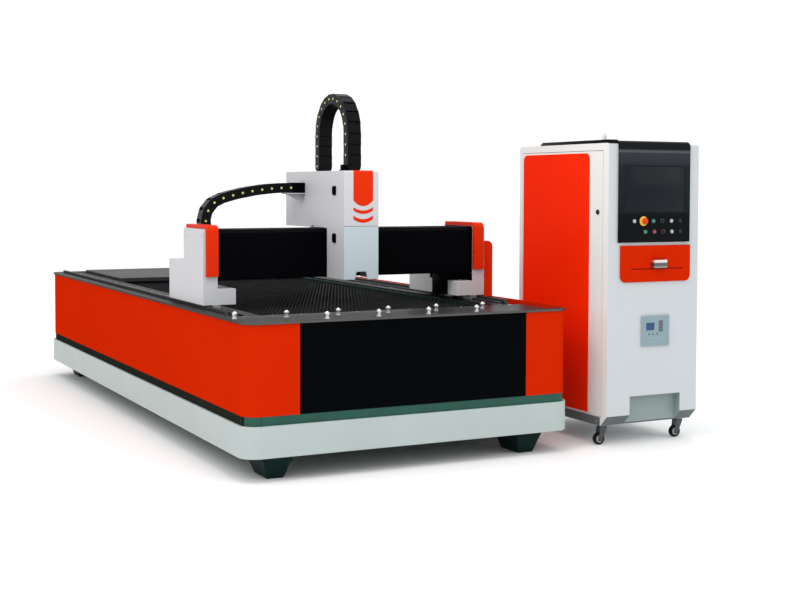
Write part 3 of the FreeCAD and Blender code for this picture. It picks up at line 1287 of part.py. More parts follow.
def control_places():
    """Where each control stands: what it is, its x and its row."""
    high = ["lamp", "e_stop", "button_green_1", "selector_1", "lamp", "blank"]
    low = ["button_green_2", "button_red", "selector_2", "lamp", "blank"]
    places = []
    for index, kind in enumerate(high):
        places.append((kind, f"cabinet_left + button_first + button_pitch * {index}", "button_high"))
    for index, kind in enumerate(low):
        places.append((kind, f"cabinet_left + low_first + low_pitch * {index}", "button_low"))
    return places


def controls():
    """The console's controls: rings, lamps and blanks in one group, each moving part on its own."""
    stem = "estop_radius / 2"
    ring = [("bezel_radius", "0"), ("bezel_radius - 2", "bezel_depth")]
    lamp = [("bezel_radius", "0"), ("bezel_radius", "bezel_depth / 2"),
            ("button_radius * 0.7", "bezel_depth * 1.5")]
    lift = "button_travel + running_gap"
    push = [("button_radius", lift), ("button_radius", f"{lift} + cap_reach - 2"),
            ("button_radius - 2", f"{lift} + cap_reach")]
    dome = [(stem, "estop_reach / 2 - 1"), ("estop_radius", "estop_reach / 2 + 1"),
            ("estop_radius", "estop_reach * 0.8"), ("estop_radius * 0.6", "estop_reach")]
    fixed = []
    for index, (kind, x, z) in enumerate(control_places()):
        at = (x, "-console_depth", z)
        if kind == "lamp":
            fixed.append(tapered(f"lamp_{index}", "-y", at, lamp))
        elif kind == "blank":
            fixed.append(prism(f"blank_{index}", "-y", at, "bezel_radius", "bezel_depth / 2"))
        elif kind == "e_stop":
            rim = prism("estop_rim", "-y", at, "estop_ring", "estop_travel", 12)
            collar = prism("estop_collar", "-y", at, f"{stem} + 4", "estop_travel * 2")
            way = prism("estop_bore", "-y", at, f"{stem} + running_gap", "estop_travel * 3")
            fixed.append(cut("estop_base", fuse("estop_body", [rim, collar]), [way]))
            low = "estop_travel + running_gap"
            root = (x, f"-console_depth - ({low})", z)
            post = prism("estop_stem", "-y", root, stem, f"estop_reach / 2 - ({low})")
            node(fuse("estop_form", [post, tapered("estop_dome", "-y", at, dome, 12)]), kind)
        else:
            hole = bore if kind.startswith("selector") else prism
            way = hole(f"bezel_bore_{index}", "-y", at, "button_radius + running_gap", "2 * bezel_depth")
            fixed.append(cut(f"bezel_{index}", tapered(f"bezel_block_{index}", "-y", at, ring, 8), [way]))
            if kind.startswith("selector"):
                seat = (x, "-console_depth - running_gap", z)
                knob = prism(f"{kind}_disc", "-y", seat, "button_radius", "bezel_depth + 1")
                grip = box(f"{kind}_grip", (f"{x} - button_radius / 3", f"{x} + button_radius / 3"),
                           ("-console_depth - 2 * bezel_depth - 1", "-console_depth - bezel_depth"),
                           (f"{z} - button_radius * 0.9", f"{z} + button_radius * 0.9"))
                node(fuse(f"{kind}_form", [knob, grip]), kind)
            else:
                node(tapered(f"{kind}_form", "-y", at, push, 8), kind)
    return node(group("control_rings", fixed), "button_bezels")


def controller_panel():
    """The small operator panel low on the front: its case, display and keys."""
    left = "cabinet_left + controller_left"
    corners = rectangle((left, f"{left} + controller_width"), ("controller_low", "controller_high"))
    case = solid("controller_case", "xz", corners, ("-controller_depth", "0"))
    key = "controller_width / 12"
    show = (f"{left} + controller_width * 0.15", f"{left} + controller_width * 0.45")
    show_z = ("controller_low + controller_width * 0.47", "controller_low + controller_width * 0.7")
    window = box("display_window", show, ("-controller_depth - 1", "-controller_depth * 0.8"), show_z)
    display = box("display_glass", show, ("-controller_depth * 0.9", "-controller_depth * 0.8"), show_z)
    face = ("-controller_depth - 1.5", "-controller_depth")
    keys = []
    for index in range(4):
        low = f"controller_low + controller_width * 0.38 + {key} * 1.4 * {index}"
        x = f"{left} + controller_width * 0.62"
        keys.append(box(f"key_side_{index}", (x, f"{x} + {key} * 2"), face, (low, f"{low} + {key}")))
    for index in range(6):
        x = f"{left} + controller_width * 0.12 + {key} * 1.6 * {index}"
        low = "controller_low + controller_width * 0.12"
        keys.append(box(f"key_low_{index}", (x, f"{x} + {key}"), face, (low, f"{low} + {key}")))
    body = fuse("controller_body", [cut("controller_open", case, [window])] + keys)
    return node(group("controller_parts", [body, display]), "controller_panel")


def keyboard_drawer():
    """The red drawer front with round lower corners and a groove, and the tray behind it."""
    gap = "running_gap"
    x = ("console_x + (console_width - drawer_width) / 2 + drawer_shift",
         "console_x + (console_width + drawer_width) / 2 + drawer_shift")
    corners = rectangle(x, ("drawer_low", "drawer_high"))
    front = solid("drawer_front_plate", "xz", corners, (f"-{gap} - drawer_front", f"-{gap}"))
    round_edges(front, "xz", corners[:2], "drawer_round")
    middle = "(drawer_low + drawer_high) / 2 - drawer_groove"
    groove = box("drawer_groove_cut", (f"{x[0]} + 2 * drawer_round", f"{x[1]} - 1.5 * drawer_round"),
                 (f"-{gap} - drawer_front - 1", f"-{gap} - drawer_front + 2"), (middle, f"{middle} + 4"))
    tray = box("drawer_tray_block", ("tray_left", "tray_right"), (f"-{gap}", "drawer_tray_depth"),
               ("tray_low", "tray_low + drawer_tray_height"))
    hollow = box("drawer_tray_hollow", ("tray_left + cabinet_sheet", "tray_right - cabinet_sheet"),
                 ("0", "drawer_tray_depth - cabinet_sheet"),
                 ("tray_low + cabinet_sheet", "tray_low + drawer_tray_height + 1"))
    grooved = cut("drawer_front_open", front, [groove])
    body = fuse("drawer_body", [grooved, cut("drawer_tray", tray, [hollow])])
    node(body, "keyboard_drawer")
    centre = f"({x[0]} + {x[1]}) / 2 + handle_shift"
    face = f"-{gap} - drawer_front"
    half = "handle_width / 2"
    bar = "handle_bar / 2"
    out = [(f"{centre} - {half}", face), (f"{centre} - {half}", f"{face} - handle_reach * 0.6"),
           (f"{centre} - {half} + {bar}", f"{face} - handle_reach"),
           (f"{centre} + {half} - {bar}", f"{face} - handle_reach"),
           (f"{centre} + {half}", f"{face} - handle_reach * 0.6"), (f"{centre} + {half}", face)]
    inner = [(f"{centre} + {half} - {bar}", face),
             (f"{centre} + {half} - {bar}", f"{face} - handle_reach * 0.5"),
             (f"{centre} + {half} - 2 * {bar}", f"{face} - handle_reach + {bar}"),
             (f"{centre} - {half} + 2 * {bar}", f"{face} - handle_reach + {bar}"),
             (f"{centre} - {half} + {bar}", f"{face} - handle_reach * 0.5"),
             (f"{centre} - {half} + {bar}", face)]
    strap = solid("handle_strap", "xy", out + inner,
                  ("handle_z - handle_height / 2", "handle_z + handle_height / 2"))
    return node(strap, "drawer_handle")


def caster_places():
    near = ("cabinet_left + caster_inset", "cabinet_right - caster_inset")
    deep = ("toe_chamfer + caster_inset", "cabinet_depth - caster_inset")
    return [(x, y) for y in deep for x in near]


def casters():
    """Each caster: a swivelling fork with its axle, and the wheel with its chamfered tread."""
    for index, (x, y) in enumerate(caster_places(), start=1):
        top = "cabinet_base - caster_plate_thickness - running_gap"
        axle_x = f"{x} - caster_trail"
        half = "wheel_width / 2"
        crown = f"{top} - 2 * fork_wall"
        reach = "wheel_radius * 0.35"
        seat = (x, y, f"{top} - fork_wall")
        parts = [prism(f"fork_disc_{index}", "z", seat, "caster_plate / 3", "fork_wall")]
        parts.append(box(f"fork_crown_{index}", (f"{x} - caster_plate * 0.4", f"{x} + caster_plate * 0.3"),
                         (f"{y} - {half} - fork_gap - fork_wall", f"{y} + {half} + fork_gap + fork_wall"),
                         (crown, f"{top} - fork_wall")))
        corners = [(f"{axle_x} - {reach}", f"wheel_radius - {reach}"),
                   (f"{axle_x} + {reach}", f"wheel_radius - {reach}"),
                   (f"{x} + caster_plate * 0.3", crown), (f"{x} - caster_plate * 0.4", crown)]
        sides = (("near", f"{y} - {half} - fork_gap - fork_wall"), ("far", f"{y} + {half} + fork_gap"))
        for word, near in sides:
            parts.append(solid(f"fork_{word}_{index}", "xz", corners, (near, f"{near} + fork_wall")))
        parts.append(prism(f"axle_{index}", "y", (axle_x, f"{y} - {half} - fork_gap", "wheel_radius"),
                           "axle_radius", "wheel_width + 2 * fork_gap"))
        node(fuse(f"fork_form_{index}", parts), f"caster_fork_{index}")
        shy = "wheel_width * 0.15"
        outline = [(f"wheel_radius - {shy}", f"-{half}"), ("wheel_radius", f"{shy} - {half}"),
                   ("wheel_radius", f"{half} - {shy}"), (f"wheel_radius - {shy}", half)]
        tyre = tapered(f"wheel_tyre_{index}", "y", (axle_x, y, "wheel_radius"), outline, 12)
        way = bore(f"wheel_bore_{index}", "y", (axle_x, f"{y} - {half} - 1", "wheel_radius"),
                   "axle_radius + running_gap", "wheel_width + 2")
        node(cut(f"wheel_form_{index}", tyre, [way]), f"caster_wheel_{index}")


def laser_source():
    """The laser's own case, standing on the cabinet's floor."""
    x = "cabinet_left + (cabinet_width - source_width) / 2"
    y = "(cabinet_depth - source_depth) / 2 + toe_chamfer"
    z = ("cabinet_base + cabinet_sheet", "cabinet_base + cabinet_sheet + source_height")
    return node(box("source_case", (x, f"{x} + source_width"), (y, f"{y} + source_depth"), z), "laser_source")


def beacon():
    """The small lamp on the cabinet's top left."""
    radius = "beacon_radius"
    outline = [(radius, "0"), (radius, "beacon_height * 0.25"), (f"{radius} * 0.8", "beacon_height * 0.3"),
               (f"{radius} * 0.8", "beacon_height * 0.85"), (f"{radius} * 0.5", "beacon_height")]
    at = ("cabinet_left + cabinet_round + beacon_radius", "beacon_y", "cabinet_top")
    return node(tapered("beacon_form", "z", at, outline, 12), "beacon")

bed_frame()
skirt()
red_panels()
table_trim()
deck()
rails_and_racks()
slats()
scrap_tray()
ball_transfers()
chain_trough()
side_chain()
saddles()
end_covers()
end_caps()
beam()
cross_rails()
drive_motors()
for mark, word in (("-", "left"), ("", "right")):
    place = (f"{mark}pinion_x", "pinion_y", "leg_base - pinion_width - pinion_lift")
    pinion(f"y_pinion_{word}", place, "saddle_top")
outboard_cover()
beam_chain()
carriage_covers()
cover_trim()
carriage_plate()
carriage_motors()
pinion("x_pinion", ("carriage_middle", "cross_pinion_y", "plate_base - pinion_width - block_clear + 0.5"),
       "plate_base + plate_thickness")
lift_screw()
head_slide()
cutting_head()
lift_chain()
cabinet_shell()
cabinet_door()
door_lock()
console()
controls()
controller_panel()
keyboard_drawer()
casters()
laser_source()
beacon()
doc.recompute()

for thing in doc.Objects:
    if "Invalid" in thing.State or "Error" in thing.State:
        raise RuntimeError(f"{thing.Label} did not rebuild")
for thing in NODES:
    if thing.Shape.isNull() or not thing.Shape.isValid():
        raise RuntimeError(f"{thing.Label} has no sound shape")

os.makedirs("parts", exist_ok=True)
for thing in NODES:
    thing.Shape.exportStep(f"parts/{thing.Label}.step")
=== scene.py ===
import json
import math

import bmesh
import bpy
from mathutils import Matrix, Vector
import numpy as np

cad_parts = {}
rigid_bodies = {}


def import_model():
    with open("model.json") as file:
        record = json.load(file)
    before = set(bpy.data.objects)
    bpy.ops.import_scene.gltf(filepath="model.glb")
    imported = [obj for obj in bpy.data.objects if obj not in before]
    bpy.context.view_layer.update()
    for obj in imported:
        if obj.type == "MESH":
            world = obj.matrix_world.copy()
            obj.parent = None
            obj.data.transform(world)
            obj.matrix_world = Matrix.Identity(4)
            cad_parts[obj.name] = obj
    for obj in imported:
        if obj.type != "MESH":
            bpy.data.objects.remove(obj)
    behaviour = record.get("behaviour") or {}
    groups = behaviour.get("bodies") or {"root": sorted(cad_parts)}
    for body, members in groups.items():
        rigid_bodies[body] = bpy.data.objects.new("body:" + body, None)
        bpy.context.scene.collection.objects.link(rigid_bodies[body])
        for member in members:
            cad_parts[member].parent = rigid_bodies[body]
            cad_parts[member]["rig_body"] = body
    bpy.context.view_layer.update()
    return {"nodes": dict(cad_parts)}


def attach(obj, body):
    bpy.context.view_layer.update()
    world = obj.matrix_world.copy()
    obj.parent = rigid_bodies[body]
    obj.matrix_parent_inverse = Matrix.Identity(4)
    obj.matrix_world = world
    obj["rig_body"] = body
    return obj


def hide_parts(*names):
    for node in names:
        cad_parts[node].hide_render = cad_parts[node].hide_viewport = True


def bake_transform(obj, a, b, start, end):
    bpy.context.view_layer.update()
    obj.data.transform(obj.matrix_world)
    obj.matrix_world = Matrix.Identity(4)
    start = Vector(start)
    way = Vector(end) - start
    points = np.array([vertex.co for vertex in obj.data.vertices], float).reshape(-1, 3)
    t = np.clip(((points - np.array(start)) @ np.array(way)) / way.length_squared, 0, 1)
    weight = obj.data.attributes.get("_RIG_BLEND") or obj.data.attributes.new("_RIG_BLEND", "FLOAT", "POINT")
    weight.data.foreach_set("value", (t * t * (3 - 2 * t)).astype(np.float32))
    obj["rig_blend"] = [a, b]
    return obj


# The looks of an open-bed fibre laser cutter.  Shapes are built in the bed's own frame, in
# millimetres: x = 0 on the bed's centre line, y = 0 at the skirt's front, z = 0 on the floor.

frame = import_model()
NODES = frame["nodes"]
BED_X, BED_Y = 511.0, 2402.5


def at(x, y, z):
    """A point of the bed's frame (millimetres) in the scene's frame (metres)."""
    return Vector(((x - BED_X) / 1000, (y - BED_Y) / 1000, z / 1000))


# ---------------------------------------------------------------- materials

def wire(tree, out, into):
    tree.links.new(out, into)


def noise(tree, coords, scale, detail=3.0, stretch=None):
    """A noise in object coordinates, stretched along an axis where the finish has a direction."""
    node = tree.nodes.new("ShaderNodeTexNoise")
    node.inputs["Scale"].default_value = scale
    node.inputs["Detail"].default_value = detail
    if stretch:
        mapping = tree.nodes.new("ShaderNodeMapping")
        mapping.inputs["Scale"].default_value = stretch
        wire(tree, coords, mapping.inputs["Vector"])
        coords = mapping.outputs["Vector"]
    wire(tree, coords, node.inputs["Vector"])
    return node.outputs["Fac"]


def spread(tree, value, low, high, floor=0.2, ceiling=0.8):
    """Maps a noise on to a range."""
    node = tree.nodes.new("ShaderNodeMapRange")
    for name, number in (("From Min", floor), ("From Max", ceiling), ("To Min", low), ("To Max", high)):
        node.inputs[name].default_value = number
    wire(tree, value, node.inputs["Value"])
    return node.outputs["Result"]


def mixed(tree, share, first, second):
    """A colour mixed by a share; each colour is a tuple or another node's output."""
    node = tree.nodes.new("ShaderNodeMix")
    node.data_type = "RGBA"
    wire(tree, share, node.inputs["Factor"])
    for socket, colour in ((node.inputs[6], first), (node.inputs[7], second)):
        if isinstance(colour, tuple):
            socket.default_value = (*colour, 1)
        else:
            wire(tree, colour, socket)
    return node.outputs[2]


def shade(colour, factor):
    return tuple(min(1.0, part * factor) for part in colour)


def banded(tree, coords, bands):
    """A colour ramp run up the object's height."""
    split = tree.nodes.new("ShaderNodeSeparateXYZ")
    wire(tree, coords, split.inputs["Vector"])
    low, high = bands[0][0], bands[-1][0]
    ramp = tree.nodes.new("ShaderNodeValToRGB")
    points = ramp.color_ramp.elements
    while len(points) < len(bands):
        points.new(0.5)
    for point, (level, colour) in zip(points, bands):
        point.position = (level - low) / (high - low)
        point.color = (*colour, 1)
    wire(tree, spread(tree, split.outputs["Z"], 0.0, 1.0, low, high), ramp.inputs["Fac"])
    return ramp.outputs["Color"]


def finish(name, colour, rough=0.35, metal=0.0, cloud=0.08, grain=900.0, bump=0.04, stretch=None,
           dust=0.0, dust_colour=(0.45, 0.42, 0.38), coat=0.0, stain=None, sheen_scale=2.2, gloss=0.5,
           bands=None, **extra):
    """A worked surface: cloudy colour, uneven gloss, fine relief, and dust on what faces up.

    Bands are (height in metres, colour) pairs, lowest first, for a tone that changes with height; here they
    carry painted sheen and highlight lines.
    """
    made = bpy.data.materials.new(name)
    made.use_nodes = True
    tree = made.node_tree
    shader = tree.nodes["Principled BSDF"]
    coords = tree.nodes.new("ShaderNodeTexCoord").outputs["Object"]
    clouds = spread(tree, noise(tree, coords, sheen_scale, 5.0), 0.0, 1.0)
    tint = mixed(tree, clouds, shade(colour, 1 - cloud), shade(colour, 1 + cloud))
    if bands:
        tint = mixed(tree, spread(tree, clouds, 0.8, 0.95, 0.0, 1.0), tint, banded(tree, coords, bands))
    if stain:
        marks = spread(tree, noise(tree, coords, stain["scale"], 6.0), 0.0, stain["amount"],
                       stain.get("floor", 0.5), stain.get("ceiling", 0.72))
        tint = mixed(tree, marks, tint, stain["colour"])
    if dust:
        facing = tree.nodes.new("ShaderNodeNewGeometry")
        split = tree.nodes.new("ShaderNodeSeparateXYZ")
        wire(tree, facing.outputs["Normal"], split.inputs["Vector"])
        speck = noise(tree, coords, 14.0, 8.0)
        lying = tree.nodes.new("ShaderNodeMath")
        lying.operation = "MULTIPLY"
        wire(tree, spread(tree, split.outputs["Z"], 0.0, 1.0, 0.5, 1.0), lying.inputs[0])
        wire(tree, spread(tree, speck, 0.2 * dust, dust), lying.inputs[1])
        tint = mixed(tree, lying.outputs["Value"], tint, dust_colour)
    wire(tree, tint, shader.inputs["Base Color"])
    wire(tree, spread(tree, noise(tree, coords, 6.0, 6.0, stretch), rough * 0.88, rough * 1.14),
         shader.inputs["Roughness"])
    shader.inputs["Metallic"].default_value = metal
    shader.inputs["Specular IOR Level"].default_value = gloss
    shader.inputs["Coat Weight"].default_value = coat
    shader.inputs["Coat Roughness"].default_value = 0.08
    for socket, value in extra.items():
        shader.inputs[socket.replace("_", " ")].default_value = value
    relief = tree.nodes.new("ShaderNodeBump")
    relief.inputs["Strength"].default_value = bump * 5
    relief.inputs["Distance"].default_value = 0.0004
    wire(tree, noise(tree, coords, grain, 2.0, stretch), relief.inputs["Height"])
    wire(tree, relief.outputs["Normal"], shader.inputs["Normal"])
    return made


# stains: worn metal, burnt slats and the scuffed deck
RUBBED = {"scale": 26.0, "amount": 0.5, "colour": (0.13, 0.12, 0.11), "floor": 0.55, "ceiling": 0.85}
BURNT = {"scale": 9.0, "amount": 0.9, "colour": (0.012, 0.011, 0.012), "floor": 0.42, "ceiling": 0.66}
SCUFFED = {"scale": 7.0, "amount": 0.55, "colour": (0.07, 0.066, 0.064), "floor": 0.4, "ceiling": 0.8}
# painted sheen and a painted highlight line up the console's fold, and the drawer handle's tones with its
# painted highlights, heights in metres
INK = (0.0024, 0.0031, 0.0040)
FOLD_SHEEN = [(1.290, INK), (1.466, INK), (1.486, (0.0085, 0.0105, 0.013)), (1.775, (0.012, 0.0145, 0.018)),
        (1.800, (0.026, 0.030, 0.036)), (1.856, (0.032, 0.037, 0.043)), (1.862, (0.085, 0.092, 0.098)),
        (1.872, (0.070, 0.076, 0.082)), (1.880, (0.0050, 0.0060, 0.0070)), (1.940, INK)]
# the handle: a dark lower part with a painted highlight line, and a pale chrome top with a pinkish painted
# reflection
HANDLE_GLINTS = [(1.120, (0.10, 0.105, 0.11)), (1.134, (0.32, 0.33, 0.34)), (1.142, (0.10, 0.105, 0.11)),
          (1.158, (0.09, 0.095, 0.10)), (1.164, (0.80, 0.74, 0.72)), (1.180, (0.90, 0.86, 0.85))]

# the few gloss values near 0 keep dark and saturated paint from washing out at a flat view
LOOKS = {
    "red": finish("red_enamel", (0.55, 0.018, 0.0012), 0.34, cloud=0.03, bump=0.02, gloss=0.0),
    "cap": finish("red_cap_enamel", (0.64, 0.026, 0.0030), 0.34, cloud=0.03, bump=0.02, gloss=0.03),
    # painted light: a brighter copy of the red for the door panel, which gets less light
    "door": finish("door_red_painted_light", (0.84, 0.020, 0.0010), 0.34, cloud=0.02, bump=0.02, gloss=0.01),
    "white": finish("white_powder_coat", (0.515, 0.52, 0.54), 0.44, cloud=0.02, bump=0.05, gloss=0.3),
    # painted light: a lighter copy of the white that lifts the shade under the beam's ends
    "lit_white": finish("foot_coat_painted_light", (0.70, 0.685, 0.71), 0.44, cloud=0.02, bump=0.05, gloss=0.25),
    "pale": finish("pale_blue_powder_coat", (0.44, 0.52, 0.56), 0.40, cloud=0.03, bump=0.05, gloss=0.3),
    "skirt": finish("skirt_powder_coat", (0.41, 0.475, 0.465), 0.46, cloud=0.04, bump=0.06, gloss=0.3,
                    dust=0.06),
    "green": finish("frame_green_paint", (0.012, 0.080, 0.056), 0.36, cloud=0.12, bump=0.07, gloss=0.25,
                    stain={"scale": 5.0, "amount": 0.35, "colour": (0.014, 0.03, 0.026)}),
    "foot": finish("foot_dark_paint", (0.0050, 0.018, 0.016), 0.42, cloud=0.15, bump=0.08, gloss=0.06),
    # painted shade: the frame's left-facing belt is made darker than its green
    "belt": finish("belt_painted_shade", (0.016, 0.018, 0.014), 0.42, cloud=0.12, bump=0.07, gloss=0.0),
    "strip": finish("dark_deck_strip", (0.022, 0.021, 0.023), 0.36, 0.5, 0.16, 180.0, 0.05, (0.08, 1.0, 1.0),
                    stain=SCUFFED, gloss=0.04, Specular_Tint=(0.2, 0.2, 0.2, 1)),
    "guide": finish("oiled_rail_steel", (0.12, 0.12, 0.125), 0.32, 0.85, 0.10, 300.0, 0.04, (1.0, 0.05, 1.0),
                    gloss=0.1, Specular_Tint=(0.35, 0.35, 0.35, 1)),
    "black": finish("black_enamel", (0.0012, 0.0015, 0.0020), 0.26, cloud=0.2, bump=0.015, gloss=0.015),
    "satin": finish("black_satin_paint", (0.0012, 0.0014, 0.0022), 0.44, cloud=0.25, bump=0.03, gloss=0.015),
    "trim": finish("brushed_trim", (0.098, 0.096, 0.095), 0.34, 0.7, 0.10, 260.0, 0.05, (1.0, 0.06, 1.0),
                   stain=RUBBED, gloss=0.05, Specular_Tint=(0.22, 0.22, 0.22, 1)),
    "deck": finish("worn_deck_plate", (0.066, 0.065, 0.067), 0.32, 0.6, 0.16, 180.0, 0.05, (0.08, 1.0, 1.0),
                   stain=SCUFFED, gloss=0.05, Specular_Tint=(0.22, 0.22, 0.22, 1)),
    "steel": finish("ground_steel", (0.34, 0.345, 0.35), 0.26, 0.95, 0.08, 300.0, 0.04, (1.0, 0.05, 1.0)),
    "blued": finish("blued_steel", (0.006, 0.006, 0.008), 0.36, 0.3, 0.12, 300.0, 0.03, (1.0, 0.05, 1.0),
                    gloss=0.06),
    "milled": finish("milled_steel", (0.36, 0.37, 0.38), 0.36, 0.9, 0.10, 220.0, 0.06, (1.0, 1.0, 0.1)),
    "slat": finish("burnt_slat_steel", (0.021, 0.024, 0.027), 0.50, 0.4, 0.30, 120.0, 0.12, stain=BURNT,
                   gloss=0.3),
    "chrome": finish("polished_chrome", (0.74, 0.75, 0.77), 0.12, 1.0, 0.03, 500.0, 0.01),
    "zinc": finish("zinc_plate", (0.62, 0.63, 0.64), 0.27, 0.95, 0.10, 300.0, 0.03),
    "chain": finish("chain_plastic", (0.0035, 0.0035, 0.0045), 0.34, cloud=0.3, grain=400.0, bump=0.03,
                    gloss=0.07),
    "yellow": finish("pale_yellow_plastic", (0.58, 0.54, 0.19), 0.45, cloud=0.12, grain=500.0, gloss=0.3),
    "ring": finish("warm_yellow_plastic", (0.80, 0.46, 0.03), 0.36, cloud=0.08, grain=500.0, gloss=0.3),
    "motor": finish("motor_enamel", (0.005, 0.0055, 0.0065), 0.38, cloud=0.2, bump=0.05, gloss=0.2),
    "head": finish("head_anodised", (0.020, 0.021, 0.025), 0.30, 0.6, 0.15, 400.0, 0.04),
    "brass": finish("nozzle_brass", (0.62, 0.38, 0.14), 0.26, 1.0, 0.10, 300.0, 0.03),
    # painted light: a lighter, warmer copy of the cabinet's white for its left side and door
    "side": finish("cabinet_side_painted_light", (0.73, 0.725, 0.70), 0.44, cloud=0.015, bump=0.05, gloss=0.2),
    "cabinet": finish("cabinet_powder_coat", (0.515, 0.55, 0.57), 0.44, cloud=0.015, bump=0.05, gloss=0.3),
    "toe": finish("toe_grey_paint", (0.245, 0.30, 0.30), 0.44, cloud=0.05, bump=0.06, gloss=0.3),
    # painted shade: a darker copy for the down-facing chamfer and the strip along the left side's foot
    "plinth": finish("plinth_painted_shade", (0.100, 0.120, 0.120), 0.44, cloud=0.05, bump=0.06, gloss=0.3),
    # the fold bands paint a sheen and a highlight line on the black
    "console": finish("console_black_painted_sheen", (0.0040, 0.0050, 0.0065), 0.28, cloud=0.15, bump=0.015,
                      gloss=0.06, bands=FOLD_SHEEN),
    "glass": finish("screen_glass", (0.0080, 0.0105, 0.014), 0.16, cloud=0.10, bump=0.0, sheen_scale=1.4,
                    gloss=0.10),
    # painted highlight and painted reflection on the handle come from its bands
    "grip": finish("handle_chrome_painted_glints", (0.30, 0.30, 0.31), 0.24, 0.9, 0.05, 400.0, 0.02, bands=HANDLE_GLINTS),
    "seam": finish("drawer_seam_red", (0.20, 0.006, 0.001), 0.4, cloud=0.1, bump=0.02, gloss=0.02),
    "lamp": finish("milky_lamp", (0.78, 0.78, 0.74), 0.30, cloud=0.03, grain=300.0, Transmission_Weight=0.15,
                   Subsurface_Weight=0.2, Subsurface_Scale=0.004),
    "lens": finish("console_lens", (0.43, 0.44, 0.46), 0.36, cloud=0.05, grain=300.0, gloss=0.2),
    "go": finish("green_button", (0.010, 0.22, 0.155), 0.28, coat=0.3, cloud=0.08, grain=500.0),
    "halt": finish("red_button", (0.34, 0.022, 0.040), 0.28, coat=0.4, cloud=0.08, grain=500.0),
    "stop": finish("stop_mushroom", (0.62, 0.034, 0.005), 0.36, coat=0.05, gloss=0.15, cloud=0.08,
                   grain=500.0),
    "knob": finish("knob_plastic", (0.008, 0.0085, 0.010), 0.40, cloud=0.2, grain=500.0, gloss=0.3),
    "panel": finish("controller_case", (0.29, 0.365, 0.39), 0.42, gloss=0.2, cloud=0.05, grain=600.0,
                    bump=0.05),
    "bezel": finish("controller_bezel", (0.23, 0.32, 0.36), 0.40, gloss=0.2, cloud=0.06, grain=600.0),
    "display": finish("display_blue", (0.0030, 0.048, 0.150), 0.16, coat=0.15, cloud=0.14, bump=0.0),
    "key": finish("soft_keys", (0.070, 0.092, 0.100), 0.50, cloud=0.12, grain=500.0),
    "tyre": finish("tyre_rubber", (0.0065, 0.0065, 0.0075), 0.62, cloud=0.25, grain=260.0, bump=0.12,
                   gloss=0.1),
    "hub": finish("hub_plastic", (0.42, 0.44, 0.45), 0.42, cloud=0.08, grain=300.0),
    "fork": finish("fork_dark_zinc", (0.075, 0.080, 0.085), 0.38, 0.85, 0.10, 300.0, 0.04),
    "dark": finish("dark_recess", (0.010, 0.010, 0.011), 0.55, cloud=0.3, grain=300.0),
}


# ---------------------------------------------------------------- pieces

def lying(u, v, w):
    """An outline drawn level and pushed upwards."""
    return u, v, w


def facing_front(u, v, w):
    """An outline drawn across and up, pushed along the bed."""
    return u, w, v


def facing_side(u, v, w):
    """An outline drawn along and up, pushed across the bed."""
    return w, u, v


SWEEPS = {
    "x": Matrix(((0, 0, 1), (0, 1, 0), (-1, 0, 0))),
    "-x": Matrix(((0, 0, -1), (0, 1, 0), (1, 0, 0))),
    "y": Matrix(((1, 0, 0), (0, 0, 1), (0, -1, 0))),
    "-y": Matrix(((1, 0, 0), (0, 0, -1), (0, 1, 0))),
    "z": Matrix.Identity(3),
}


SMOOTH = 32  # edges sharper than this many degrees stay sharp


